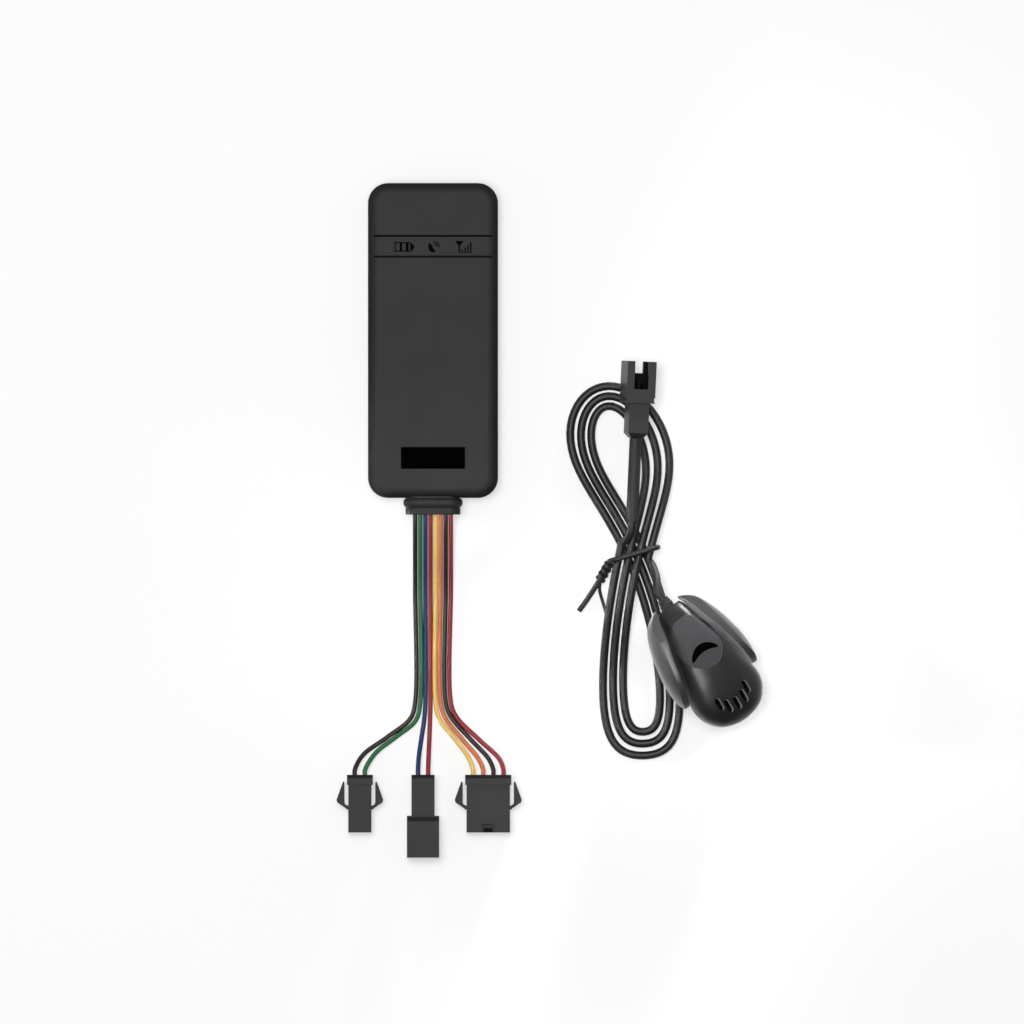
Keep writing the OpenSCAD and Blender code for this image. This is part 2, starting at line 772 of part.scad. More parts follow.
module cable_gland() {
  slot_w_full = wire_count * wire_pitch;
  inner_y = -inner_l / 2 + lip_l;
  color([0.15, 0.15, 0.155]) difference() {
    union() {
      translate([0, -gland_y, wire_z]) hull() for (x = [-1, 1])
        translate([x * (gland_w - gland_t) / 2, 0, 0]) gland_disc(gland_t, gland_l);
      translate([0, -gland_y - gland_l + hair, wire_z]) round_bar(step_w, step_t, step_l + hair);
      translate([0, inner_y, wire_z]) round_bar(neck_w, neck_t, inner_y + gland_y + hair);
      translate([0, inner_y, wire_z])
        round_bar(neck_w + 2 * lip_t, neck_t + 2 * lip_t, inner_y + inner_l / 2 - hair);
    }
    translate([0, inner_y + over, wire_z])
      round_bar(slot_w_full + fit_gap, wire_d + fit_gap, inner_y - wire_start_y + 2 * over);
  }
}

// Route of one lead from the gland to its plug
function wire_route(i, bends, x, z) = concat(
  [[wire_x(i), wire_start_y, wire_z]],
  [for (row = wire_fall) [wire_x(i), row[0], row[1]]],
  bends,
  [[x, wire_d - plug_y, z], [x, -plug_y, z]]
);

module wire_black_1() {
  color([0.13, 0.13, 0.13])
    tube(wire_route(0, bends_black_1, plug_2way_x + way_x(0, 2), plug_z), wire_d, lead_sides);
}

module wire_green() {
  color([0.03, 0.36, 0.16])
    tube(wire_route(1, bends_green, plug_2way_x + way_x(1, 2), plug_z), wire_d, lead_sides);
}

module wire_blue() {
  color([0.15, 0.2, 0.5])
    tube(wire_route(2, bends_blue, socket_2way_x + way_x(0, 2), socket_z), wire_d, lead_sides);
}

module wire_red_1() {
  color([0.65, 0.12, 0.16])
    tube(wire_route(3, bends_red_1, socket_2way_x + way_x(1, 2), socket_z), wire_d, lead_sides);
}

module wire_yellow() {
  color([0.95, 0.72, 0.15])
    tube(wire_route(4, bends_yellow, plug_4way_x + way_x(0, 4), plug_z), wire_d, lead_sides);
}

module wire_orange() {
  color([0.9, 0.45, 0.12])
    tube(wire_route(5, bends_orange, plug_4way_x + way_x(1, 4), plug_z), wire_d, lead_sides);
}

module wire_black_2() {
  color([0.13, 0.1, 0.09])
    tube(wire_route(6, bends_black_2, plug_4way_x + way_x(2, 4), plug_z), wire_d, lead_sides);
}

module wire_red_2() {
  color([0.7, 0.1, 0.08])
    tube(wire_route(7, bends_red_2, plug_4way_x + way_x(3, 4), plug_z), wire_d, lead_sides);
}

// Hinge point of a latch arm, out from the plug's middle and down from its wired end
function latch_x(ways) = plug_w(ways) / 2 + knuckle_r / 5;
latch_y = latch_l + collar_l * 2 / 3;

// Plug housing with its wired end at the origin and its mating end down -Y
module plug_housing(ways) {
  w = plug_w(ways);
  difference() {
    union() {
      translate([-w / 2, -plug_l, -plug_t / 2]) cube([w, plug_l, plug_t]);
      translate([-w / 2 - collar_lip, -collar_l, -collar_t / 2])
        cube([w + 2 * collar_lip, collar_l, collar_t]);
    }
    for (i = [0:ways - 1]) translate([way_x(i, ways) - cavity_w / 2, -plug_l - over, -cavity_w / 2])
      cube([cavity_w, plug_l + 2 * over, cavity_w]);
    for (x = [-1, 1]) translate([x * latch_x(ways), -latch_y, -latch_w / 2 - fit_gap])
      cylinder(r = knuckle_r + knuckle_gap, h = latch_w + 2 * fit_gap);
  }
}

// Right latch arm: its rounded root, its neck and its barb
module latch_arm(ways) {
  side = plug_w(ways) / 2;
  r = knuckle_r;
  low = latch_y;
  tip = latch_y - latch_l;
  outline = [
    [side - r / 2, -low + r / 2], [side + r * 2 / 5, -low + r], [side + latch_gap * 4 / 5, -low + r * 8 / 5],
    [side + latch_gap, -low + r * 5 / 2], [side + latch_gap, -tip - latch_gap / 3],
    [side + latch_gap * 9 / 8, -tip], [side + latch_gap * 11 / 8, -tip],
    [side + latch_reach, -low + latch_l * 3 / 10], [side + latch_reach * 15 / 16, -low + latch_l / 5],
    [side + r / 2, -low - r * 6 / 7], [side - r / 2, -low - r / 2]
  ];
  translate([0, 0, -latch_w / 2]) {
    linear_extrude(latch_w) polygon(outline);
    translate([latch_x(ways), -latch_y, 0]) cylinder(r = r, h = latch_w);
  }
}

// Contacts of a plug: crimped box with a socket bore
module plug_contacts(ways) {
  for (i = [0:ways - 1]) translate([way_x(i, ways), 0, 0]) difference() {
    translate([-contact_w / 2, -plug_l + lip_l, -contact_w / 2])
      cube([contact_w, plug_l - lip_l, contact_w]);
    translate([0, -plug_l + lip_l + shroud_l / 2, 0]) rotate([90, 0, 0])
      cylinder(d = pin_d + fit_gap, h = shroud_l / 2 + over);
  }
}

// Two-way receptacle with its wired end at the origin and its mouth down -Y
module receptacle(rear) {
  w = plug_w(2);
  shroud_w = w + 2 * (plug_gap + shroud_wall);
  hollow_w = w + 2 * plug_gap;
  hollow_t = plug_t + 2 * plug_gap;
  slot_depth = shroud_l * 2 / 3;
  slot_h = latch_w + 5 * fit_gap;
  band_l = shroud_floor;
  difference() {
    union() {
      translate([-w / 2, -rear - hair, -plug_t / 2]) cube([w, rear + hair, plug_t]);
      translate([-shroud_w / 2, -rear - shroud_l, -shroud_t / 2])
        cube([shroud_w, shroud_l, shroud_t]);
    }
    translate([-hollow_w / 2, -rear - shroud_l - over, -hollow_t / 2])
      cube([hollow_w, shroud_l - shroud_floor + over, hollow_t]);
    translate([-shroud_w / 2 - over, -rear - shroud_l - over, -slot_h / 2])
      cube([shroud_w + 2 * over, slot_depth + over, slot_h]);
    for (z = [-1, 1]) translate([
      -shroud_w / 2 - over, -rear - band_l * 4 / 3, z * shroud_t / 2 - shroud_wall / 4
    ]) cube([shroud_w + 2 * over, band_l, shroud_wall / 2]);
    for (i = [0, 1]) translate([way_x(i, 2), over, 0]) rotate([90, 0, 0]) {
      cylinder(d = contact_w, h = rear / 2 + over);
      cylinder(d = pin_d + 2 * fit_gap, h = rear + shroud_l / 2);
    }
  }
}

// Pins of a receptacle: crimp, shank and tip
module receptacle_pins(rear) {
  for (i = [0, 1]) translate([way_x(i, 2), 0, 0]) rotate([90, 0, 0]) {
    cylinder(d = contact_w - fit_gap, h = rear / 2 - fit_gap);
    cylinder(d = pin_d, h = rear + shroud_floor + pin_l);
  }
}

module at_plug_2way() {
  translate([plug_2way_x, -plug_y, plug_z]) children();
}

module at_plug_4way() {
  translate([plug_4way_x, -plug_y, plug_z]) children();
}

module plug_2way() {
  color([0.25, 0.25, 0.26]) at_plug_2way() plug_housing(2);
}

module plug_2way_latch_left() {
  color([0.26, 0.26, 0.27]) at_plug_2way() mirror([1, 0, 0]) latch_arm(2);
}

module plug_2way_latch_right() {
  color([0.26, 0.26, 0.27]) at_plug_2way() latch_arm(2);
}

module plug_2way_contacts() {
  color([0.8, 0.68, 0.4]) at_plug_2way() plug_contacts(2);
}

module socket_2way() {
  color([0.25, 0.25, 0.26]) translate([socket_2way_x, -plug_y, socket_z]) receptacle(rear_l);
}

module socket_2way_pins() {
  color([0.8, 0.68, 0.4]) translate([socket_2way_x, -plug_y, socket_z]) receptacle_pins(rear_l);
}

module plug_4way() {
  color([0.25, 0.25, 0.26]) at_plug_4way() difference() {
    plug_housing(4);
    translate([-key_w / 2, -plug_l - over, plug_t / 2 - key_d]) cube([key_w, key_l + over, plug_t]);
    translate([-key_w / 3, -plug_l - over, plug_t / 2 - key_d * 5 / 4])
      cube([key_w * 2 / 3, key_l / 2 + over, plug_t]);
  }
}

module plug_4way_latch_left() {
  color([0.26, 0.26, 0.27]) at_plug_4way() mirror([1, 0, 0]) latch_arm(4);
}

module plug_4way_latch_right() {
  color([0.26, 0.26, 0.27]) at_plug_4way() latch_arm(4);
}

module plug_4way_contacts() {
  color([0.8, 0.68, 0.4]) at_plug_4way() plug_contacts(4);
}

// Frame of the pod: X along it, origin on its axis
module at_pod() {
  translate([mic_x, mic_y, axis_z]) rotate([0, 0, mic_turn]) rotate([-mic_roll, 0, 0]) children();
}

// Half width of the pod at a place along it
function pod_half(x) = pod_w / 2 * lookup((x - pod_head_x) / pod_l, pod_width_shares);

// Half width between the wings, which the pod's top needs as it dips
function room_half(x) = pod_half(x + pod_top * sin(tilt_most)) + wing_gap;

// Ring of a form with a rounded section: half width, height above and depth below
function round_ring(x, w, up, down, e, count) = [
  for (k = [0:count - 1])
    let (a = 360 * k / count)
    [x, -w * sign_power(cos(a), 2 / e), (sin(a) > 0 ? up : down) * sign_power(sin(a), 2 / e)]
];

// Half sections of the pod above (side 1) or below (side -1) its middle plane
function pod_arcs(side, inset, count) = [
  for (row = pod_shares)
    let (
      x = pod_head_x + inset + row[0] * (pod_l - 2 * inset),
      w = max(abs(inset) / 3, row[1] * pod_w / 2 - inset),
      h = max(abs(inset) / 3, side > 0 ? row[2] * pod_top - inset : row[3] * pod_belly - inset)
    )
    [
      for (k = [0:count])
        let (a = 180 * k / count)
        [x, -side * w * sign_power(cos(a), 2 / pod_roundness), side * h * pow(sin(a), 2 / pod_roundness)]
    ]
];

// Layer of the pod's upper or lower half between two depths under its surface
module pod_layer(side, from, to) {
  count = 12;
  outer = pod_arcs(side, from, count);
  inner = pod_arcs(side, to, count);
  m = count + 1;
  l = len(outer) - 1;
  e = m - 1;
  in0 = m * (l + 1);
  outside = concat(
    [for (k = [0:l - 1]) for (j = [0:e - 1]) let (a = k * m + j)
      each [[a, a + 1, a + m + 1], [a, a + m + 1, a + m]]],
    [for (j = [1:e - 1]) [0, j + 1, j]],
    [for (j = [1:e - 1]) [l * m, l * m + j, l * m + j + 1]]
  );
  inside = [for (f = outside) [f[0] + in0, f[2] + in0, f[1] + in0]];
  rim = concat(
    [for (k = [0:l - 1]) let (a = k * m) each [[a, a + m, in0 + a + m], [a, in0 + a + m, in0 + a]]],
    [for (k = [0:l - 1]) let (a = k * m + e)
      each [[a + m, a, in0 + a], [a + m, in0 + a, in0 + a + m]]],
    [[e, 0, in0], [e, in0, in0 + e]],
    [[l * m, l * m + e, in0 + l * m + e], [l * m, in0 + l * m + e, in0 + l * m]]
  );
  polyhedron(
    [for (ring = outer) each ring, for (ring = inner) each ring],
    concat(outside, inside, rim)
  );
}

// Space left for the strain relief and the lead in the pod's head
module head_bores() {
  translate([pod_head_x - over, 0, 0]) rotate([0, 90, 0])
    cylinder(d = sleeve_d + fit_gap, h = boot_neck_l + over);
  translate([pod_head_x - over, 0, 0]) rotate([0, 90, 0])
    cylinder(d = cord_d + fit_gap, h = core_l + over);
}

// Oval plate that follows the pod's surface
module panel_plate(grow, from, to) {
  steps = 28;
  intersection() {
    translate([panel_x, 0, pod_top / 4 - grow / 2]) linear_extrude(2 * pod_top) polygon([
      for (k = [0:steps - 1])
        [(panel_l + grow) / 2 * cos(360 * k / steps), (panel_w + grow) / 2 * sin(360 * k / steps)]
    ]);
    pod_layer(1, from, to);
  }
}

module sound_slots() {
  for (a = slot_angles)
    translate([slot_centre_x + slot_arc_r * cos(a), slot_arc_r * sin(a), 0])
      linear_extrude(2 * pod_top) {
        square([slot_l - slot_w, slot_w], center = true);
        for (x = [-1, 1]) translate([x * (slot_l - slot_w) / 2, 0]) circle(slot_w / 2, $fn = 16);
      }
}

module mic_upper_shell() {
  color([0.11, 0.115, 0.12]) at_pod() difference() {
    pod_layer(1, 0, pod_wall);
    panel_plate(fit_gap, -over, panel_t + hair);
    sound_slots();
    head_bores();
  }
}

module mic_lower_shell() {
  capsule_x = slot_centre_x + pod_wall / 2;
  color([0.1, 0.105, 0.11]) at_pod() {
    difference() {
      union() {
        pod_layer(-1, 0, pod_wall);
        for (side = [-1, 1]) translate([pivot_x, side * (pod_half(pivot_x) - pod_wall / 2), -pivot_drop])
          rotate([-side * 90, 0, 0]) cylinder(r = pivot_r, h = pod_wall / 2 + wing_gap + pod_wall);
        translate([capsule_x, 0, -pod_belly + pod_wall / 2])
          cylinder(d = capsule_d * 2 / 3, h = pod_belly - pod_wall);
      }
      head_bores();
    }
  }
}

// Outer form of the bracket: rounded sections under the wings' outline
module bracket_form() {
  count = 20;
  rings = [
    for (row = wing_shares) round_ring(
      wing_head_x + row[0] * wing_l, row[1] * bracket_w / 2,
      wing_up, axis_h * wing_down_share, wing_round, count
    )
  ];
  skin([for (ring = rings) each ring], len(rings), count);
}

// Room for the pod between the wings: straight sides above its middle, a round trough below
module pod_room() {
  half_count = 8;
  stations = 9;
  rings = [
    for (k = [0:stations])
      let (
        x = wing_head_x - over + k * (wing_l + 3 * over) / stations,
        w = room_half(x),
        depth = axis_h - foot_t
      )
      concat(
        [[x, w, wing_h]],
        [
          for (j = [0:half_count])
            let (a = 180 * j / half_count)
            [x, w * sign_power(cos(a), 2 / room_boxy), -depth * pow(sin(a), 2 / room_boxy)]
        ],
        [[x, -w, wing_h]]
      )
  ];
  skin([for (ring = rings) each ring], len(rings), half_count + 3);
}

module mic_bracket() {
  head_room_l = pod_l / 2 + pivot_x - pod_wall * 2;
  color([0.2, 0.205, 0.21]) at_pod() difference() {
    intersection() {
      bracket_form();
      rotate([90, 0, 0]) translate([0, 0, -bracket_w]) linear_extrude(2 * bracket_w)
        polygon([for (row = wing_side_shares) [wing_head_x + row[0] * wing_l, row[1] * wing_h - axis_h]]);
    }
    pod_room();
    linear_extrude(2 * pod_l, center = true) polygon(concat(
      [for (k = [0:6]) let (x = wing_head_x - over + k * (head_room_l + over) / 6) [x, room_half(x)]],
      [for (k = [6:-1:0]) let (x = wing_head_x - over + k * (head_room_l + over) / 6) [x, -room_half(x)]]
    ));
    for (side = [-1, 1]) translate([pivot_x, 0, -pivot_drop]) rotate([-side * 90, 0, 0])
      cylinder(r = pivot_r + pivot_gap, h = pod_half(pivot_x) + wing_gap + pod_wall + fit_gap);
  }
}

// Crescent outline: an outer arc and a flatter inner arc on one chord
module crescent(grow, from, to) {
  steps = 10;
  half = crescent_w / 2;
  outer_rise = crescent_w / 3;
  inner_rise = crescent_w / 8;
  intersection() {
    linear_extrude(2 * pod_top) translate([panel_x + panel_l / 4, 0]) polygon(concat(
      [for (k = [0:steps]) let (s = 2 * k / steps - 1)
        [-(outer_rise + grow) * (1 - s * s), (half + grow) * s]],
      [for (k = [steps - 1:-1:1]) let (s = 2 * k / steps - 1)
        [-(inner_rise - grow) * (1 - s * s), (half + grow) * s]]
    ));
    pod_layer(1, from, to);
  }
}

module mic_panel() {
  color([0.17, 0.17, 0.18]) at_pod() difference() {
    panel_plate(0, 0, panel_t);
    crescent(fit_gap / 2, -over, crescent_t + hair);
  }
}

module mic_crescent() {
  color([0.01, 0.01, 0.01]) at_pod() crescent(0, 0, crescent_t);
}

module mic_boot() {
  root_r = sleeve_d / 2 + fit_gap * 3;
  tip_r = cord_d / 2 + pod_wall / 4;
  color([0.05, 0.05, 0.055]) at_pod() translate([pod_head_x, 0, 0]) rotate([0, 90, 0]) difference() {
    rotate_extrude() polygon([
      [0, -boot_l], [tip_r, -boot_l], [root_r, -boot_l / 4], [root_r, 0],
      [sleeve_d / 2, 0], [sleeve_d / 2, boot_neck_l - fit_gap], [0, boot_neck_l - fit_gap]
    ]);
    translate([0, 0, -boot_l - over]) cylinder(d = cord_d + fit_gap / 2, h = boot_l + boot_neck_l + 2 * over);
  }
}

module mic_capsule() {
  capsule_x = slot_centre_x + pod_wall / 2;
  color([0.75, 0.75, 0.77]) at_pod() translate([capsule_x, 0, -pod_wall / 2])
    cylinder(d = capsule_d, h = capsule_h);
}

module mic_inner_lead() {
  capsule_x = slot_centre_x + pod_wall / 2;
  core_from = pod_head_x + core_l;
  color([0.06, 0.06, 0.06]) at_pod() rotate([0, 90, 0]) {
    translate([0, 0, boot_tip_x]) cylinder(d = cord_d - fit_gap / 2, h = core_from - boot_tip_x);
    translate([0, 0, core_from - hair])
      cylinder(d = cord_d / 2, h = capsule_x - capsule_d / 2 - core_from);
  }
}

module mic_lead_end() {
  color([0.05, 0.05, 0.055]) tube(lead_end_route, cord_d, lead_sides);
}

module mic_hank() {
  color([0.05, 0.05, 0.055]) tube(hank_route, cord_d, hank_sides);
}

module mic_lead_start() {
  color([0.05, 0.05, 0.055]) tube(lead_start_route, cord_d, lead_sides);
}

module at_mic_socket() {
  translate([mic_socket_x, mic_socket_y, mic_socket_z]) rotate([0, 0, -mic_socket_lean])
    rotate([0, mic_socket_roll, 0]) rotate([0, 0, 180]) children();
}

module lead_sleeve() {
  color([0.13, 0.135, 0.14]) at_mic_socket() translate([0, taper_l + sleeve_l, 0]) rotate([90, 0, 0])
    difference() {
      cylinder(d = sleeve_d, h = sleeve_l);
      translate([0, 0, -over]) cylinder(d = cord_d + fit_gap / 2, h = sleeve_l + 2 * over);
    }
}

module mic_socket() {
  color([0.15, 0.155, 0.16]) at_mic_socket() {
    receptacle(mic_rear_l);
    hull() {
      translate([-plug_w(2) / 2, 0, -plug_t / 2]) cube([plug_w(2), hair, plug_t]);
      translate([-sleeve_d / 2, taper_l - hair, -sleeve_d / 2]) cube([sleeve_d, hair, sleeve_d]);
    }
  }
}

module mic_socket_pins() {
  color([0.8, 0.68, 0.4]) at_mic_socket() receptacle_pins(mic_rear_l);
}

module cord_tie() {
  along = [cos(tie_turn), sin(tie_turn), 0];
  normal = [-sin(tie_turn), cos(tie_turn), 0];
  centre = [tie_x, tie_y, (tie_low + tie_high) / 2];
  loop = [
    for (k = [0:tie_steps - 1])
      let (a = 360 * k / tie_steps)
      centre + along * tie_half_w * sign_power(cos(a), 2 / tie_boxy)
        + [0, 0, (tie_high - tie_low) / 2 * sign_power(sin(a), 2 / tie_boxy)]
  ];
  twist_dir = unit(twist_to - twist_from);
  twist_side = unit(cross(twist_dir, [0, 0, 1]));
  twist_up = cross(twist_side, twist_dir);
  color([0.04, 0.04, 0.045]) {
    ring_tube(loop, tie_d, tie_sides, normal);
    for (start = [0, 180]) tube([
      for (k = [0:twist_steps])
        let (a = start + 360 * twist_turns * k / twist_steps)
        twist_from + (twist_to - twist_from) * k / twist_steps
          + twist_r * (cos(a) * twist_side + sin(a) * twist_up)
    ], tie_d, tie_sides);
    tube(tail_long, tie_d, tie_sides);
    tube(tail_short, tail_short_d, tie_sides);
  }
}

front_cover();
back_cover();
cover_screws();
indicator_strip();
label_inlay();
light_pipes();
status_leds();
circuit_board();
gnss_antenna();
cellular_antenna();
modem_shield();
battery_cell();
battery_lead();
sim_socket();
sim_card();
harness_header();
inner_leads();
cable_gland();
wire_black_1();
wire_green();
wire_blue();
wire_red_1();
wire_yellow();
wire_orange();
wire_black_2();
wire_red_2();
plug_2way();
plug_2way_latch_left();
plug_2way_latch_right();
plug_2way_contacts();
socket_2way();
socket_2way_pins();
plug_4way();
plug_4way_latch_left();
plug_4way_latch_right();
plug_4way_contacts();
mic_upper_shell();
mic_lower_shell();
mic_bracket();
mic_panel();
mic_crescent();
mic_boot();
mic_capsule();
mic_inner_lead();
mic_lead_end();
mic_hank();
mic_lead_start();
lead_sleeve();
mic_socket();
mic_socket_pins();
cord_tie();
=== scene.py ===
import json
import math

import bmesh
import bpy
from mathutils import Matrix, Vector


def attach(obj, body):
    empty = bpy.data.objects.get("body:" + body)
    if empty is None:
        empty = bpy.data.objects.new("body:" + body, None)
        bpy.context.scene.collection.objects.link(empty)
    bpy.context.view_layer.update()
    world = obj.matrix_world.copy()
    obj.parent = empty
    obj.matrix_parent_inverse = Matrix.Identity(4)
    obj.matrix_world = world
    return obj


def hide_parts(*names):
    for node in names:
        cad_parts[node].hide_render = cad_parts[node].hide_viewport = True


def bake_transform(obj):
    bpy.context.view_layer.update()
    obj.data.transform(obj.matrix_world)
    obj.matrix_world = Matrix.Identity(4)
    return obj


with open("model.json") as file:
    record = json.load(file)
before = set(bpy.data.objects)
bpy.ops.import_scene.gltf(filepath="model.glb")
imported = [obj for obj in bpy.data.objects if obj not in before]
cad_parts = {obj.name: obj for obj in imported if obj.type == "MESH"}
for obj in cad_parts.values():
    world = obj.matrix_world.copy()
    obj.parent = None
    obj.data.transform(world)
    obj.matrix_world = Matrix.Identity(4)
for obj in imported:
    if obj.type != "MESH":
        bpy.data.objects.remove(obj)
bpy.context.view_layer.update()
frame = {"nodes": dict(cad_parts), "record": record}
MM = 0.001
ROOT = "tracker_set"
POD = "mic_pod"

# camera, straight above, with its width and place in metres
VIEW_WIDTH, CAMERA_PLACE, PICTURE_PX = 0.25206, (0.019446, -0.042215, 0.6), 1024
scene = bpy.context.scene
cam_data = bpy.data.cameras.new("camera")
cam_data.type = "ORTHO"
cam_data.ortho_scale = VIEW_WIDTH
cam = bpy.data.objects.new("camera", cam_data)
cam.location = CAMERA_PLACE
scene.collection.objects.link(cam)
scene.camera = cam
scene.render.resolution_x = PICTURE_PX
scene.render.resolution_y = PICTURE_PX
scene.view_settings.view_transform = "Standard"
scene.view_settings.look = "None"


# small tools
def between(a, b, low, high, t):
    """The value at t, of a line that is a at low and b at high."""
    return a * ((high - t) / (high - low)) + b * ((t - low) / (high - low))


def smooth_path(points, per=8):
    """Points on a rounded line through the given ones (centripetal)."""
    p = [Vector(q) for q in points]
    p = [p[0] * 2 - p[1]] + p + [p[-1] * 2 - p[-2]]
    out = []
    for i in range(1, len(p) - 2):
        a, b, c, d = p[i - 1], p[i], p[i + 1], p[i + 2]
        t0 = 0.0
        t1 = t0 + max(1e-9, (b - a).length) ** 0.5
        t2 = t1 + max(1e-9, (c - b).length) ** 0.5
        t3 = t2 + max(1e-9, (d - c).length) ** 0.5
        for k in range(per):
            t = t1 + (t2 - t1) * k / per
            a1 = between(a, b, t0, t1, t)
            a2 = between(b, c, t1, t2, t)
            a3 = between(c, d, t2, t3, t)
            b1 = between(a1, a2, t0, t2, t)
            b2 = between(a2, a3, t1, t3, t)
            out.append(between(b1, b2, t1, t2, t))
    out.append(p[-2])
    return out


def link(name, mesh, mat=None):
    obj = bpy.data.objects.new(name, mesh)
    scene.collection.objects.link(obj)
    if mat is not None:
        mesh.materials.clear()
        mesh.materials.append(mat)
    return obj


def mesh_from(name, verts, faces, sharp=35):
    mesh = bpy.data.meshes.new(name)
    mesh.from_pydata([tuple(v) for v in verts], [], faces)
    mesh.validate()
    bm = bmesh.new()
    bm.from_mesh(mesh)
    bmesh.ops.recalc_face_normals(bm, faces=bm.faces)
    bm.to_mesh(mesh)
    bm.free()
    finish_shading(mesh, sharp)
    return mesh


def finish_shading(mesh, sharp=35):
    mesh.polygons.foreach_set("use_smooth", [True] * len(mesh.polygons))
    mesh.set_sharp_from_angle(angle=math.radians(sharp))
    mesh.update()


def side_faces(rings, count, closed=False):
    """Quads from each ring of points to the next, and from the last to the first if closed."""
    faces = []
    for i in range(rings if closed else rings - 1):
        j = (i + 1) % rings
        for k in range(count):
            m = (k + 1) % count
            faces.append((i * count + k, i * count + m, j * count + m, j * count + k))
    return faces


def loft(name, rings, sharp=35, closed=False):
    """Form through rings of equally many points, with flat ends unless it closes on itself."""
    m = len(rings[0])
    last = (len(rings) - 1) * m
    faces = side_faces(len(rings), m, closed)
    if not closed:
        faces += [tuple(range(m)), tuple(last + k for k in range(m))]
    return mesh_from(name, [v for ring in rings for v in ring], faces, sharp)


def tube(name, points, radius, sides, closed=False):
    """Round tube, its rings carried along without twist."""
    pts = [Vector(p) for p in points]
    n = len(pts)
    dirs = []
    for i in range(n):
        if closed:
            d = pts[(i + 1) % n] - pts[i - 1]
        else:
            d = pts[min(i + 1, n - 1)] - pts[max(i - 1, 0)]
        dirs.append(d.normalized())
    side = dirs[0].cross(Vector((0, 0, 1)))
    if side.length < 1e-4:
        side = Vector((1, 0, 0))
    side.normalize()
    turn = [2 * math.pi * k / sides for k in range(sides)]
    rings = []
    for i in range(n):
        side = (side - dirs[i] * side.dot(dirs[i])).normalized()
        up = side.cross(dirs[i])
        rings.append([pts[i] + radius * (math.cos(a) * side + math.sin(a) * up) for a in turn])
    return loft(name, rings, 50, closed)


def prism(name, outline, low, high):
    """Outline points (x, y) raised from low to high along Z."""
    return loft(name, [[(x, y, z) for x, y in outline] for z in (low, high)])


def rectangle(x0, y0, x1, y1):
    return [(x0, y0), (x1, y0), (x1, y1), (x0, y1)]


def ellipse(half_x, half_y, sides, x=0.0, y=0.0):
    return [(x + half_x * math.cos(2 * math.pi * k / sides), y + half_y * math.sin(2 * math.pi * k / sides))
            for k in range(sides)]


def block(x0, y0, z0, x1, y1, z1):
    return prism("block", rectangle(x0, y0, x1, y1), z0, z1)


def carve(obj, cutters, operation="DIFFERENCE", sharp=35, solver="MANIFOLD"):
    """Cuts obj by each mesh, or joins or keeps what the operation says; the cutters are used up."""
    mat = obj.data.materials[0] if obj.data.materials else None
    made = []
    for mesh in cutters:
        cut = bpy.data.objects.new("cut", mesh)
        scene.collection.objects.link(cut)
        made.append(cut)
        mod = obj.modifiers.new("cut", "BOOLEAN")
        mod.operation = operation
        mod.object = cut
        mod.solver = solver
    bake_modifiers(obj, sharp)
    for cut in made:
        mesh = cut.data
        bpy.data.objects.remove(cut)
        bpy.data.meshes.remove(mesh)
    if mat is not None:
        obj.data.materials.clear()
        obj.data.materials.append(mat)


def bake_modifiers(obj, sharp=35):
    bpy.context.view_layer.update()
    graph = bpy.context.evaluated_depsgraph_get()
    mesh = bpy.data.meshes.new_from_object(obj.evaluated_get(graph))
    obj.modifiers.clear()
    old = obj.data
    obj.data = mesh
    bpy.data.meshes.remove(old)
    finish_shading(obj.data, sharp)


def clean(obj, merge=2e-6, flat=0.6):
    """Merges doubled points, and faces that lie in one plane."""
    bm = bmesh.new()
    bm.from_mesh(obj.data)
    bmesh.ops.remove_doubles(bm, verts=bm.verts, dist=merge)
    bmesh.ops.dissolve_limit(bm, angle_limit=math.radians(flat), verts=bm.verts, edges=bm.edges)
    bm.to_mesh(obj.data)
    bm.free()


def bevel(obj, width, angle=40, segments=2):
    """Rounds the edges that turn by more than the angle."""
    mod = obj.modifiers.new("bevel", "BEVEL")
    mod.width = width
    mod.segments = segments
    mod.limit_method = "ANGLE"
    mod.angle_limit = math.radians(angle)
    mod.use_clamp_overlap = True
    mod.miter_outer = "MITER_ARC"
    bake_modifiers(obj)
    mod = obj.modifiers.new("normals", "WEIGHTED_NORMAL")
    mod.keep_sharp = True
    mod.weight = 80
    bake_modifiers(obj)


def joined(name, meshes, mat):
    bm = bmesh.new()
    for mesh in meshes:
        bm.from_mesh(mesh)
        bpy.data.meshes.remove(mesh)
    out = bpy.data.meshes.new(name)
    bm.to_mesh(out)
    bm.free()
    finish_shading(out, 50)
    return link(name, out, mat)


def rounded_rear(obj, width):
    """Broad rounding of the upper edge that faces the leads."""
    bm = bmesh.new()
    bm.from_mesh(obj.data)
    margin = 1e-5
    rear = max(v.co.y for v in bm.verts) - margin
    crown = max(v.co.z for v in bm.verts if v.co.y > rear) - margin
    edges = [e for e in bm.edges if all(v.co.z > crown and v.co.y > rear for v in e.verts)]
    bmesh.ops.bevel(bm, geom=edges, offset=width, segments=5, profile=0.5, affect="EDGES")
    bm.to_mesh(obj.data)
    bm.free()


def mark(obj, mat, chosen):
    """Gives another material to the faces that a test of centre (mm) and normal picks."""
    obj.data.materials.append(mat)
    slot = len(obj.data.materials) - 1
    for face in obj.data.polygons:
        if chosen(face.center / MM, face.normal):
            face.material_index = slot


def softened(node, width, mat, body=None, segments=2, rear=0):
    """A moulded piece with its CAD node's form and rounded edges."""
    source = frame["nodes"][node]
    obj = link(node + "_moulded", source.data.copy(), mat)
    clean(obj)
    if rear:
        rounded_rear(obj, rear)
    bevel(obj, width, segments=segments)
    obj.data.materials.clear()
    obj.data.materials.append(mat)
    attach(obj, body or ROOT)
    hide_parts(node)
    return obj


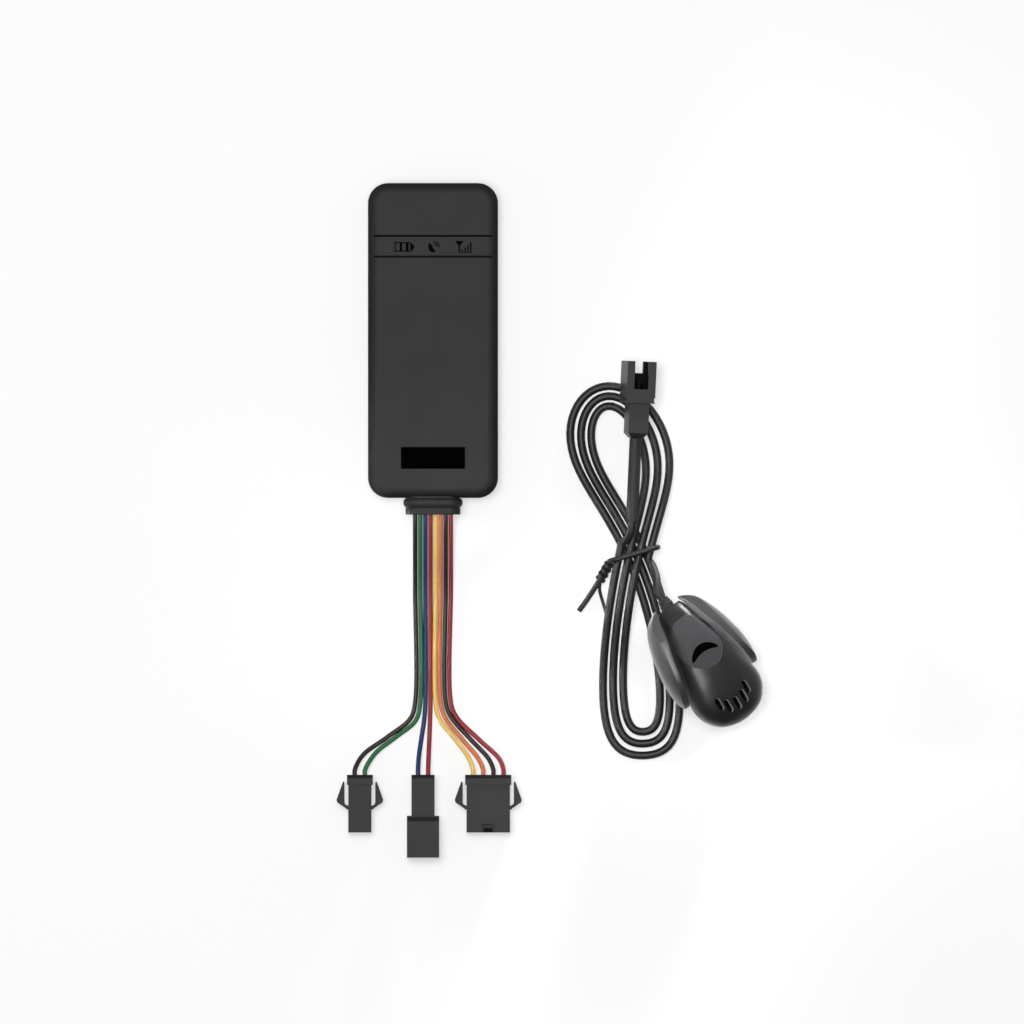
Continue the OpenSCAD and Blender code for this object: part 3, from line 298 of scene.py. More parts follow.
# materials
TONE_SCALE, TONE_DETAIL, GRAIN_DETAIL, TONE_LIFT = 90, 4, 3, 0.0006
NOISE_LOW, NOISE_HIGH = 0.3, 0.7
RELIEF_STRENGTH, LEAST_ROUGH, GLOSS_SPREAD = 0.6, 0.02, 0.06
SHEEN_ROUGH, SHEEN_TINT = 0.5, (0.95, 0.97, 1, 1)


def add_node(tree, kind, values=None):
    """New shader node with its input values, by name."""
    node = tree.nodes.new(kind)
    for socket, value in (values or {}).items():
        node.inputs[socket].default_value = value
    return node


def wire(tree, source, output, target, socket):
    tree.links.new(source.outputs[output], target.inputs[socket])


def set_ramp(ramp, stops):
    for element, (position, colour) in zip(ramp.color_ramp.elements, stops):
        element.position = position
        element.color = (*colour, 1)


def material(name, rgb, rough, grain, relief_depth, mottle, specular, metal, gloss_spread, sheen):
    """Plastic, rubber or metal with a fine grain, a slow change of tone and uneven gloss."""
    mat = bpy.data.materials.new(name)
    mat.use_nodes = True
    nt = mat.node_tree
    nt.nodes.clear()
    out = add_node(nt, "ShaderNodeOutputMaterial")
    bsdf = add_node(nt, "ShaderNodeBsdfPrincipled", {
        "Metallic": metal, "Specular IOR Level": specular,
        "Sheen Weight": sheen, "Sheen Roughness": SHEEN_ROUGH, "Sheen Tint": SHEEN_TINT,
    })
    coord = add_node(nt, "ShaderNodeTexCoord")
    fine = add_node(nt, "ShaderNodeTexNoise", {"Scale": grain, "Detail": GRAIN_DETAIL})
    slow = add_node(nt, "ShaderNodeTexNoise", {"Scale": TONE_SCALE, "Detail": TONE_DETAIL})
    tone = add_node(nt, "ShaderNodeValToRGB")
    dark = [c * (1 - mottle) for c in rgb]
    light = [min(1, c * (1 + mottle) + TONE_LIFT * mottle) for c in rgb]
    set_ramp(tone, [(NOISE_LOW, dark), (NOISE_HIGH, light)])
    gloss = add_node(nt, "ShaderNodeMapRange", {
        "From Min": NOISE_LOW, "From Max": NOISE_HIGH,
        "To Min": max(LEAST_ROUGH, rough - gloss_spread), "To Max": min(1, rough + gloss_spread),
    })
    relief = add_node(nt, "ShaderNodeBump", {"Strength": RELIEF_STRENGTH, "Distance": relief_depth})
    wire(nt, coord, "Object", fine, "Vector")
    wire(nt, coord, "Object", slow, "Vector")
    wire(nt, slow, "Fac", tone, "Fac")
    wire(nt, tone, "Color", bsdf, "Base Color")
    wire(nt, fine, "Fac", gloss, "Value")
    wire(nt, gloss, "Result", bsdf, "Roughness")
    wire(nt, fine, "Fac", relief, "Height")
    wire(nt, relief, "Normal", bsdf, "Normal")
    wire(nt, bsdf, "BSDF", out, "Surface")
    return mat


# colour, roughness, scale of the grain, its depth in metres, mottle and specular level
LOOKS = {
    "housing_black": ((0.043, 0.043, 0.0435), 0.9, 3600, 3e-5, 0.04, 0.03),
    "gloss_black": ((0.0004, 0.0004, 0.0004), 0.8, 3000, 1e-5, 0.1, 0.01),
    "print_black": ((0.0008, 0.0008, 0.0008), 0.7, 5000, 1e-5, 0.1, 0.02),
    "screw_steel": ((0.3, 0.3, 0.32), 0.35, 3000, 1e-5, 0.1, 0.5),
    "clear_plastic": ((0.7, 0.73, 0.75), 0.2, 900, 1e-5, 0.05, 0.5),
    "lamp_plastic": ((0.8, 0.8, 0.6), 0.3, 900, 1e-5, 0.05, 0.5),
    "board_green": ((0.02, 0.12, 0.04), 0.35, 900, 2e-5, 0.1, 0.5),
    "ceramic": ((0.62, 0.55, 0.4), 0.6, 2500, 1e-5, 0.08, 0.5),
    "contact_brass": ((0.6, 0.47, 0.22), 0.3, 2500, 1e-5, 0.1, 0.5),
    "shield_steel": ((0.55, 0.56, 0.57), 0.35, 2500, 1e-5, 0.06, 0.5),
    "cell_foil": ((0.5, 0.5, 0.53), 0.45, 700, 5e-5, 0.06, 0.5),
    "white_plastic": ((0.8, 0.79, 0.74), 0.5, 2500, 1e-5, 0.04, 0.5),
    "rubber_black": ((0.018, 0.018, 0.0185), 0.6, 3000, 3e-5, 0.1, 0.25),
    "wire_black": ((0.016, 0.009, 0.006), 0.45, 2500, 1e-5, 0.12, 0.35),
    "wire_green": ((0.02, 0.125, 0.045), 0.5, 2500, 1e-5, 0.08, 0.3),
    "wire_blue": ((0.012, 0.03, 0.115), 0.5, 2500, 1e-5, 0.08, 0.3),
    "wire_red": ((0.25, 0.022, 0.032), 0.5, 2500, 1e-5, 0.08, 0.3),
    "wire_yellow": ((0.74, 0.49, 0.13), 0.5, 2500, 1e-5, 0.06, 0.3),
    "wire_orange": ((0.55, 0.155, 0.055), 0.5, 2500, 1e-5, 0.06, 0.3),
    "connector_black": ((0.034, 0.034, 0.035), 0.65, 3200, 2e-5, 0.06, 0.2),
    "mic_connector_black": ((0.012, 0.0125, 0.013), 0.45, 3000, 2e-5, 0.1, 0.5),
    "pod_black": ((0.003, 0.0034, 0.0038), 0.34, 3400, 1.5e-5, 0.1, 0.33),
    "bracket_grey": ((0.02, 0.0203, 0.0208), 0.4, 3400, 1.5e-5, 0.1, 0.6),
    "panel_grey": ((0.031, 0.031, 0.0335), 0.65, 3400, 2e-5, 0.08, 0.25),
    "lead_black": ((0.006, 0.0065, 0.0072), 0.5, 1500, 5e-6, 0.1, 0.45),
    "sleeve_black": ((0.018, 0.0185, 0.018), 0.6, 2200, 1e-5, 0.1, 0.3),
    # the next two looks are painted shade, not colours of any part: the lighter one on rounded edges and a
    # groove, the darker one in hollows, a groove and a notch, and on the pieces inside the pod and the socket
    "rear_black": ((0.014, 0.014, 0.0145), 0.7, 3200, 2e-5, 0.06, 0.1),
    "inside_black": ((0.004, 0.004, 0.004), 0.8, 2500, 1e-5, 0.1, 0.1),
}
METALS = ("screw_steel", "contact_brass", "shield_steel", "cell_foil")
SHEENS = {"pod_black": 0.35, "bracket_grey": 0.4}
GLOSS_SPREADS = {"lead_black": 0.03}
MAT = {}
for mat_name, look in LOOKS.items():
    MAT[mat_name] = material(
        mat_name, *look, float(mat_name in METALS), GLOSS_SPREADS.get(mat_name, GLOSS_SPREAD),
        SHEENS.get(mat_name, 0.0),
    )
SLOT_OF = {row["node"]: row["material_slot"] for row in frame["record"]["subparts"]}
for node_name, node_obj in frame["nodes"].items():
    node_obj.data.materials.clear()
    node_obj.data.materials.append(MAT[SLOT_OF[node_name]])
# the capsule and the socket's pins take the darkest painted shade, for the hollows they sit in
for node_name in ("mic_capsule", "mic_socket_pins"):
    frame["nodes"][node_name].data.materials[0] = MAT["inside_black"]

# sizes, as in the part's source
body_w, body_l, body_t = 32.0, 77.5, 12.0
gland_l, step_l = 2.35, 1.75
wire_d, wire_pitch, plug_y = 1.15, 1.25, 106.9
way_pitch, plug_t, collar_lip = 2.5, 5.0, 0.33
plug_gap, shroud_wall = 0.12, 1.0
wire_z = body_t / 2
wire_start_y = -body_l / 2 - gland_l - step_l
plug_z = plug_t / 2 + collar_lip
socket_z = plug_t / 2 + plug_gap + shroud_wall
X_2WAY, X_SOCKET, X_4WAY = -18.0, -2.45, 13.6
cord_d, tie_d = 2.0, 1.3


def way_x(i, ways):
    return (i - (ways - 1) / 2) * way_pitch


# harness leads: places along Y and heights where all of them come down to the table
FALL = [(-45, 6), (-54, 3.2), (-62, 0.8), (-89, 0.6)]
# node, x and height at the connector, and the bends on the way there
LEADS = [
    ("wire_black_1", X_2WAY + way_x(0, 2), plug_z,
     [(-5.6, -93.1, 0.6), (-11.2, -97.6, 0.8), (-17.3, -102.1, 1.7)]),
    ("wire_green", X_2WAY + way_x(1, 2), plug_z,
     [(-4.3, -93.6, 0.6), (-9, -97.5, 0.8), (-14.1, -101.5, 1.5)]),
    ("wire_blue", X_SOCKET + way_x(0, 2), socket_z,
     [(-2.2, -93.5, 0.6), (-2.9, -98.2, 0.8), (-3.5, -102.6, 2.3)]),
    ("wire_red_1", X_SOCKET + way_x(1, 2), socket_z,
     [(-0.75, -93.5, 0.6), (-0.9, -98.2, 0.8), (-1.1, -102.6, 2.3)]),
    ("wire_yellow", X_4WAY + way_x(0, 4), plug_z,
     [(1.6, -93.2, 0.6), (5.1, -97.7, 0.8), (8.7, -102.6, 1.9)]),
    ("wire_orange", X_4WAY + way_x(1, 4), plug_z,
     [(3.1, -93, 0.6), (7.4, -98.4, 0.8), (11.2, -103, 1.9)]),
    ("wire_black_2", X_4WAY + way_x(2, 4), plug_z,
     [(4.4, -92.6, 0.6), (9.2, -98.1, 0.8), (13.7, -103, 1.9)]),
    ("wire_red_2", X_4WAY + way_x(3, 4), plug_z,
     [(5.8, -92.7, 0.6), (11.4, -98.3, 0.8), (16.3, -103, 1.9)]),
]


def lead_route(i, x, z, bends):
    """Route of one lead in metres, from the gland to its connector."""
    x0 = (i - (len(LEADS) - 1) / 2) * wire_pitch
    route = [(x0, wire_start_y, wire_z)] + [(x0, y, h) for y, h in FALL] + list(bends)
    route += [(x, wire_d - plug_y, z), (x, -plug_y, z)]
    return [tuple(c * MM for c in p) for p in route]


# microphone lead
hank_turns = 3
waist_x, waist_y, hank_pitch = 49.7, -52.0, 2.47
upper_h, upper_h_step, upper_w, upper_w_step = 37.7, 2.46, 8.7, 1.45
lower_h, lower_h_step, lower_w, lower_w_step = 46.5, -2.93, 5.9, -1.02
hank_lean, lean_at_waist, upper_round, lower_round = 8.6, 0.25, -0.33, 0.35
lift_steep, lift_reach = 1.6, 0.62
table_z = cord_d / 2
tie_gap = 0.1
under_z = tie_d + table_z + tie_gap
over_z = under_z + hank_pitch


def hank_point(turn):
    """Place in mm on the hank's line, a figure of eight whose strands lie side by side at the waist."""
    p = 2 * math.pi * turn
    s = math.sin(p)
    up = (1 - s) / 2
    t = turn - hank_turns / 2
    h = (lower_h + lower_h_step * t) * (1 - up) + (upper_h + upper_h_step * t) * up
    w = (lower_w + lower_w_step * t) * (1 - up) + (upper_w + upper_w_step * t) * up
    rnd = lower_round * (1 - up) ** 2 + upper_round * up ** 2
    v = min(1, max(0, lift_steep * (1 - abs(s) / lift_reach)))
    lift = v * v * (3 - 2 * v)
    top = over_z if math.cos(p) > 0 else under_z
    return Vector((
        waist_x - hank_lean * (up * up - lean_at_waist) - w * math.sin(2 * p)
        + hank_pitch * t * math.cos(p),
        waist_y - h * s * (1 + rnd - rnd * s * s),
        table_z + (top - table_z) * lift,
    ))


socket_x, socket_y, socket_h, socket_lean, socket_roll = 49.95, -22.8, 7.4, 2.6, -78.0
taper_l, sleeve_l = 1.2, 20.8
lean = math.radians(socket_lean)
socket_dir = Vector((-math.sin(lean), -math.cos(lean), 0))
lead_exit = Vector((socket_x, socket_y, socket_h)) + socket_dir * taper_l
sleeve_end = lead_exit + socket_dir * sleeve_l
step_turn = 1 / 24
hank_in = (hank_point(step_turn) - hank_point(0)).normalized()
hank_out = (hank_point(hank_turns) - hank_point(hank_turns - step_turn)).normalized()
start_route = [lead_exit, lead_exit + socket_dir * (sleeve_l / 2), sleeve_end,
               Vector((48.8, -46.6, 7.3)), Vector((48.2, -48.2, 6.7)), Vector((47.1, -49.5, 5.5)),
               hank_point(0) - hank_in * cord_d]

mic_turn, mic_roll = math.radians(-55.7), math.radians(12)
mic_x, mic_y, axis_h, bracket_w, foot_half = 67.0, -79.1, 8.6, 23.4, 0.59
axis_z = bracket_w / 2 * foot_half * math.sin(mic_roll) + axis_h * math.cos(mic_roll)
pod_l, pod_w, pod_top, pod_belly, pod_wall = 33.4, 19.0, 6.0, 6.0, 1.5
head_x, boot_l, tilt_most = -16.2, 2.6, math.radians(18)
pod_dir = Vector((math.cos(mic_turn), math.sin(mic_turn), 0))
end_stop = Vector((mic_x, mic_y, axis_z)) + pod_dir * (head_x - boot_l)
end_route = [hank_point(hank_turns) + hank_out * cord_d, Vector((53.9, -55.3, 5.5)), Vector((55, -58.6, 8)),
             end_stop - pod_dir * cord_d, end_stop]
TO_POD = (
    Matrix.Scale(MM, 4)
    @ Matrix.Translation((mic_x, mic_y, axis_z))
    @ Matrix.Rotation(mic_turn, 4, "Z")
    @ Matrix.Rotation(-mic_roll, 4, "X")
)
TO_SOCKET = (
    Matrix.Scale(MM, 4)
    @ Matrix.Translation((socket_x, socket_y, socket_h))
    @ Matrix.Rotation(-lean, 4, "Z")
    @ Matrix.Rotation(math.radians(socket_roll), 4, "Y")
    @ Matrix.Rotation(math.pi, 4, "Z")
)


def cord_piece(name, points, diameter, mat, nodes, sides, body=ROOT):
    """Cord: a round tube along the points, in metres, in place of the nodes it hides."""
    obj = link(name, tube(name, points, diameter / 2, sides), mat)
    if body:
        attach(obj, body)
    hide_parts(*nodes)
    return obj


# moulded pieces from their nodes, with the widths of their rounded edges in metres
plug_edge, plug_rear_edge, latch_edge, sleeve_edge = 0.0002, 0.0009, 0.00015, 0.00025
rear_y, rear_reach = 0.95 - plug_y, 1.9
rear_flat, rear_upright, rear_side, facing_up = 0.999, 0.1, 0.2, 0.9
# node, material, and the heights and places along Y between which its upward faces take it: painted shade on
# the floors of a groove and of a key notch
LEDGES = [
    ("socket_2way", "rear_black", 6.9, 7.1, -118.6, -117.1),
    ("plug_4way", "inside_black", 4.5, 4.65, -math.inf, -119.5),
    ("plug_4way", "rubber_black", 4.65, 4.8, -math.inf, -118.5),
]


def on_rear(c, n):
    """True for the rounded upper edge that faces the leads, which takes a darker colour as painted shade."""
    return c.y > rear_y - rear_reach and rear_upright < n.z < rear_flat and abs(n.x) < rear_side


def on_ledge(low, high, y_from, y_to):
    return lambda c, n: n.z > facing_up and low < c.z < high and y_from < c.y < y_to


# darker colours painted as shade on the rounded rear edge and on the floors of a groove and a key notch
for node_name in ["plug_2way", "plug_4way", "socket_2way"]:
    plug = softened(node_name, plug_edge, MAT["connector_black"], rear=plug_rear_edge)
    mark(plug, MAT["rear_black"], on_rear)
    for ledge_node, mat_name, *limits in LEDGES:
        if ledge_node == node_name:
            mark(plug, MAT[mat_name], on_ledge(*limits))

# the lower one of the microphone socket's two latch openings is closed behind its mouth
mic_socket = softened("mic_socket", plug_edge, MAT["mic_connector_black"])
opening_from, opening_to, opening_half = -14.8, -10.73, 1.9
low_side = -1 if (TO_SOCKET.to_3x3() @ Vector((1, 0, 0))).z > 0 else 1
wall_in, wall_out = low_side * 3.07, low_side * 3.87
far_outline = rectangle(wall_in, opening_from, wall_out, opening_to)
far_wall = prism("far_wall", far_outline, -opening_half, opening_half)
far_wall.transform(TO_SOCKET)
carve(mic_socket, [far_wall], "UNION", solver="EXACT")
FROM_SOCKET = TO_SOCKET.inverted()
cavity_half_x, cavity_half_z, cavity_from, cavity_to = 3.1, 2.7, -17.6, -8


def in_cavity(c, n):
    """True for the faces inside the microphone socket's shroud, which are painted dark as shade."""
    p = FROM_SOCKET @ (c * MM)
    return abs(p.x) < cavity_half_x and abs(p.z) < cavity_half_z and cavity_from < p.y < cavity_to


mark(mic_socket, MAT["inside_black"], in_cavity)
for plug_name in ("plug_2way", "plug_4way"):
    for node_name in (plug_name + "_latch_left", plug_name + "_latch_right"):
        softened(node_name, latch_edge, MAT["connector_black"], body=node_name)
softened("lead_sleeve", sleeve_edge, MAT["sleeve_black"], segments=3)

# housing
corner_r, edge_r, edge_z, wall, lip_t, lip_l, fit_gap = 5.0, 1.6, 2.6, 1.6, 0.6, 1.0, 0.1
band_y, band_h, band_w, groove_w, groove_d = 23.2, 4.6, 30.5, 0.5, 0.9
label_w, label_h, label_y, label_t, label_drop = 15.7, 5.3, 28.9, 0.4, 0.1
board_z, board_top, post_d, screw_d, screw_head_d, head_sink = 4.3, 5.3, 5.2, 2.0, 3.6, 2.0
inner_w, inner_l, inner_r, ceiling_z = body_w - 2 * wall, body_l - 2 * wall, corner_r - wall, body_t - wall
post_x, post_y = body_w / 2 - corner_r, body_l / 2 - corner_r
POSTS = [(x * post_x, y * post_y) for x in (-1, 1) for y in (-1, 1)]


def rounded_outline(w, l, r, steps=14):
    out = []
    for cx, cy, start in ((1, 1, 0), (-1, 1, 90), (-1, -1, 180), (1, -1, 270)):
        for k in range(steps + 1):
            a = math.radians(start + 90 * k / steps)
            out.append((cx * (w / 2 - r) + r * math.cos(a), cy * (l / 2 - r) + r * math.sin(a)))
    return out


def rounded_form(name, rows):
    """Closed form through rings of the housing's outline: inset and height of each."""
    rings = []
    for d, z in rows:
        rings.append([(x, y, z) for x, y in rounded_outline(body_w - 2 * d, body_l - 2 * d, corner_r - d)])
    return loft(name, rings)


def inner_form(name, inset, low, high):
    """Prism that is smaller than the housing's room by an inset all round."""
    return prism(name, rounded_outline(inner_w - 2 * inset, inner_l - 2 * inset, inner_r - inset), low, high)


def round_rod(x, y, r, low, high, sides=32):
    return prism("rod", ellipse(r, r, sides, x, y), low, high)


def made(mesh, cutters, operation="DIFFERENCE"):
    """Mesh after a boolean, without its object."""
    obj = link("made", mesh)
    carve(obj, cutters, operation)
    mesh = obj.data
    bpy.data.objects.remove(obj)
    return mesh


def slot_outline(l, w, steps=10):
    out = []
    for s in (1, -1):
        for k in range(steps + 1):
            a = -math.pi / 2 + math.pi * k / steps
            out.append((s * ((l - w) / 2 + w / 2 * math.cos(a)), s * w / 2 * math.sin(a)))
    return out


def along_y(outline, y0, y1):
    """Prism of an outline (x, z) about the leads' height, between two places along Y."""
    return loft("bar", [[(x, y, wire_z + z) for x, z in outline] for y in (y0, y1)])


def placed(mesh):
    """Brings a mesh from millimetres to metres."""
    mesh.transform(Matrix.Scale(MM, 4))


# rings as inset and height; a small step in marks the joint between the two covers
front_edge, front_lean, least_slope = 2.5, 0.4, 0.16
joint_step, back_steps, front_steps = 0.12, 12, 14


def front_drop(d):
    """Depth under the face at a distance in from the rim, for an evenly turning surface."""
    share = least_slope + (1 - least_slope) * (d - front_lean) / (front_edge - front_lean)
    root = math.sqrt(max(0.0, 1 - share * share))
    return (front_edge - front_lean) / (1 - least_slope) * (math.log((1 + root) / share) - root)


front_rows = [(joint_step, wire_z), (0, wire_z + joint_step)]
for k in range(front_steps + 1):
    d = front_lean + (front_edge - front_lean) * k / front_steps
    front_rows.append((d, body_t - front_drop(d)))
back_rows = []
for k in range(back_steps, -1, -1):
    a = math.pi / 2 * k / back_steps
    back_rows.append((edge_r * (1 - math.cos(a)), edge_z - edge_z * math.sin(a)))
back_rows += [(0, wire_z - joint_step), (joint_step, wire_z)]

past = 1
neck_w, neck_t, neck_from, neck_to = 12.3, 4.3, -42, -34
lip_root, ledge_root, post_root = 0.1, -0.01, 0.3
GLAND_ROOM = (-7.3, -40, 4, 7.3, -34, 8)
thread_r, thread_top, back_hole_top, hole_sides = screw_d / 2 + 0.01, 9.02, 8, 24
groove_half, lamp_pitch, lamp_hole_r, lamp_hole_low = 15.3, 7.2, 1.05, 9
cover_edge, strip_edge, label_edge, bevel_angle = 0.1, 0.12, 0.08, 50


def hollow(low, high, post_low, post_high):
    """The housing's room between two heights, without the posts that stand in it."""
    return made(inner_form("room", 0, low, high), at_posts(post_d / 2, post_low, post_high))


def at_posts(r, low, high, sides=32):
    return [round_rod(x, y, r, low, high, sides) for x, y in POSTS]


def neck_bar():
    """Bar that cuts the slot for the gland's neck."""
    return along_y(slot_outline(neck_w, neck_t, 12), neck_from, neck_to)


def strip_box(half_w, grow):
    """Block about the indicator strip, down to its groove's floor."""
    return block(-half_w, band_y - band_h / 2 - grow, body_t - groove_d,
                 half_w, band_y + band_h / 2 + grow, body_t + past)


def label_box(grow, top):
    return block(-label_w / 2 - grow, -label_y - label_h / 2 - grow, body_t - label_t - label_drop,
                 label_w / 2 + grow, -label_y + label_h / 2 + grow, top)


front = link("front_cover_moulded", rounded_form("front", front_rows), MAT["housing_black"])
carve(front, [hollow(wire_z - past, ceiling_z, wire_z - 2 * past, body_t)])
lip = made(inner_form("lip", fit_gap, wire_z - lip_l, wire_z + lip_root),
           [inner_form("ledge", ledge_root, wire_z, wire_z + lip_t)], "UNION")
lip = made(lip, [inner_form("in", fit_gap + lip_t, wire_z - 2 * past, wire_z + 2 * past), block(*GLAND_ROOM)])
carve(front, [lip], "UNION")
carve(front, at_posts(post_d / 2, board_top, wire_z + post_root), "UNION")
cutters = at_posts(thread_r, 0, thread_top, hole_sides)
cutters += [strip_box(groove_half, groove_w), label_box(fit_gap, body_t + past), neck_bar()]
cutters += [round_rod(x, band_y, lamp_hole_r, lamp_hole_low, body_t) for x in (-lamp_pitch, 0, lamp_pitch)]
carve(front, cutters)
bevel(front, cover_edge, bevel_angle)

back = link("back_cover_moulded", rounded_form("back", back_rows), MAT["housing_black"])
carve(back, [hollow(wall, wire_z + past, 0, board_z)])
cutters = at_posts(screw_head_d / 2 + fit_gap, -past, head_sink)
cutters += at_posts(screw_d / 2 + fit_gap / 2, 0, back_hole_top, hole_sides)
carve(back, cutters + [neck_bar()])
bevel(back, cover_edge, bevel_angle)

strip = link("indicator_strip_moulded", rounded_form("strip", front_rows), MAT["housing_black"])
carve(strip, [strip_box(band_w / 2, 0)], "INTERSECT")
bevel(strip, strip_edge)

label = link("label_inlay_plate", label_box(0, body_t - label_drop), MAT["gloss_black"])
bevel(label, label_edge)
groove_near, groove_mark_half = 0.3, 14.2


def in_groove(c, n):
    """True for the floor of the strip's groove, which is painted dark as shade."""
    level = abs(c.z - body_t + groove_d) < groove_near and n.z > facing_up
    return level and abs(c.x) < groove_mark_half and abs(c.y - band_y) < band_h


HOUSING = ((front, "front_cover"), (back, "back_cover"), (strip, "indicator_strip"), (label, "label_inlay"))
for obj, node_name in HOUSING:
    placed(obj.data)
mark(front, MAT["inside_black"], in_groove)
for obj, node_name in HOUSING:
    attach(obj, ROOT)
    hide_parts(node_name)

# pictograms on the strip, as thin inlays drawn in pixels of the photo: battery, dish, mast with bars
MIDDLE_PX, PX_PER_MM = (433, 340.5), 4.0625
SIGN_LOW, SIGN_HIGH = body_t - 0.06, body_t + 0.015
DISH_PX, WAVE_FROM, WAVE_TO = (434.2, 246.8), -5, 95


def px_mm(px, py):
    return (px - MIDDLE_PX[0]) / PX_PER_MM, (MIDDLE_PX[1] - py) / PX_PER_MM


def arc(r, a0, a1, steps=12):
    """Points in pixels on an arc about the dish."""
    angles = [math.radians(a0 + (a1 - a0) * k / steps) for k in range(steps + 1)]
    return [(DISH_PX[0] + r * math.cos(a), DISH_PX[1] - r * math.sin(a)) for a in angles]


def wave(r0, r1):
    return arc(r1, WAVE_FROM, WAVE_TO) + arc(r0, WAVE_TO, WAVE_FROM)


BATTERY_PX = [
    rectangle(394.6, 242, 410, 243.1), rectangle(394.6, 250.6, 410, 251.7),
    rectangle(394.6, 243, 395.7, 250.7), rectangle(399.7, 243, 402.2, 250.7),
    rectangle(405.6, 243, 408.6, 250.7),
    [(410.1, 242.2), (412.4, 243.8), (414.6, 246.9), (412.4, 250), (410.1, 251.5)],
]
DISH_AND_WAVES_PX = [
    [(429, 242.5), (432, 245.2), (433.6, 248.8), (436, 251.6), (432.6, 252.6), (429.3, 250.6),
     (428.2, 246.5)],
    wave(2.2, 3.3), wave(4.4, 5.6),
]
MAST_PX = [
    [(455, 241), (463.6, 241), (460.2, 245.6), (458.4, 245.6)], rectangle(458.6, 245.4, 460, 253.4),
    rectangle(461.6, 249.6, 463, 253.4), rectangle(464.4, 247.6, 465.8, 253.4),
    rectangle(467.2, 245, 468.6, 253.4), rectangle(470, 242, 471.4, 253.4),
]
sign_meshes = []
for points in BATTERY_PX + DISH_AND_WAVES_PX + MAST_PX:
    sign_meshes.append(prism("sign", [px_mm(*p) for p in points], SIGN_LOW, SIGN_HIGH))
signs = joined("strip_pictograms", sign_meshes, MAT["print_black"])
placed(signs.data)
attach(signs, ROOT)

# rubber gland: rounded flange, lower step, neck and inner flange, as width, thickness and place
flange_w, flange_t, flange_y, flange_half, flange_round, flange_steps = 14.6, 6.4, -38.75, 1.175, 0.9, 12
gland_slot_w, gland_slot_t, gland_from, gland_to = 10.1, 1.25, -34, -44
INNER_PART = [(13.4, 5.4, -36.15), (13.4, 5.4, -37.13), (12.2, 4.2, -37.13), (12.2, 4.2, flange_y)]
OUTER_PART = [(13.3, 5.0, -41.12), (13.5, 5.2, -41.3), (13.5, 5.2, -42.6), (13.1, 4.8, -42.85)]
flange = []
for k in range(flange_steps + 1):
    a = math.pi * k / flange_steps
    d = flange_round * (1 - math.sin(a))
    flange.append((flange_w - 2 * d, flange_t - 2 * d, flange_y - flange_half * (1 - math.cos(a))))
rings = []
for w, t, y in INNER_PART + flange + OUTER_PART:
    rings.append([(x, y, wire_z + z) for x, z in slot_outline(w, t, 16)])
gland = link("cable_gland_moulded", loft("gland", rings, 30), MAT["rubber_black"])
carve(gland, [along_y(slot_outline(gland_slot_w, gland_slot_t), gland_from, gland_to)], sharp=30)
placed(gland.data)
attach(gland, ROOT)
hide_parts("cable_gland")

# wire tie: a flattened loop round the waist, a twist of its two ends, and the ends themselves
tie_turn = math.radians(16)
tie_half_w, tie_boxy, loop_steps = 6.2, 4.0, 72
tie_x, tie_y = waist_x - 0.3, waist_y - 0.6
tie_slack = 0.2
tie_low, tie_high = tie_d / 2, over_z + cord_d / 2 + tie_d / 2 + tie_slack
twist_from, twist_to = Vector((43.4, -55, 3.2)), Vector((41.2, -58.8, 2.1))
twist_turns, twist_r, twist_steps = 1.5, 0.68, 48
TAIL_LONG = [(41.4, -58.4, 2.2), (40, -60.6, 1.6), (37.9, -63.8, 0.9), (35.9, -66.6, 0.7)]
TAIL_SHORT = [(41.3, -58.5, 1.9), (41, -61.3, 1.1), (41.8, -64.4, 0.6), (42.7, -67.4, 0.5)]
tail_short_r = 0.4


def sign_power(v, e):
    return math.copysign(abs(v) ** e, v)


def tie_loop():
    along = Vector((math.cos(tie_turn), math.sin(tie_turn), 0))
    middle = Vector((tie_x, tie_y, (tie_low + tie_high) / 2))
    half_h = (tie_high - tie_low) / 2
    loop = []
    for k in range(loop_steps):
        a = 2 * math.pi * k / loop_steps
        across = along * (tie_half_w * sign_power(math.cos(a), 2 / tie_boxy))
        loop.append((middle + across + Vector((0, 0, half_h * sign_power(math.sin(a), 2 / tie_boxy)))) * MM)
    return loop


def tie_twist(start):
    """One of the two strands of the twist."""
    ahead = (twist_to - twist_from).normalized()
    side = ahead.cross(Vector((0, 0, 1))).normalized()
    up = side.cross(ahead)
    helix = []
    for k in range(twist_steps + 1):
        a = start + 2 * math.pi * twist_turns * k / twist_steps
        on_axis = twist_from + (twist_to - twist_from) * (k / twist_steps)
        helix.append((on_axis + twist_r * (math.cos(a) * side + math.sin(a) * up)) * MM)
    return helix


tie_parts = [tube("t", tie_loop(), tie_d / 2 * MM, 14, closed=True)]
tie_parts += [tube("t", tie_twist(start), tie_d / 2 * MM, 12) for start in (0, math.pi)]
tie_parts.append(tube("t", [p * MM for p in smooth_path(TAIL_LONG)], tie_d / 2 * MM, 14))
tie_parts.append(tube("t", [p * MM for p in smooth_path(TAIL_SHORT)], tail_short_r * MM, 12))
tie = joined("cord_tie_wire", tie_parts, MAT["lead_black"])
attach(tie, ROOT)
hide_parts("cord_tie")

# cords
lead_low, lead_sides, cord_sides, route_steps = 0.6, 14, 18, 10
for i, (node_name, x, z, bends) in enumerate(LEADS):
    route = smooth_path(lead_route(i, x, z, bends), route_steps)
    pts = [Vector((p.x, p.y, max(p.z, lead_low * MM))) for p in route]
    cord_piece(node_name.replace("wire_", "lead_"), pts, wire_d * MM, MAT[SLOT_OF[node_name]],
               [node_name], lead_sides)

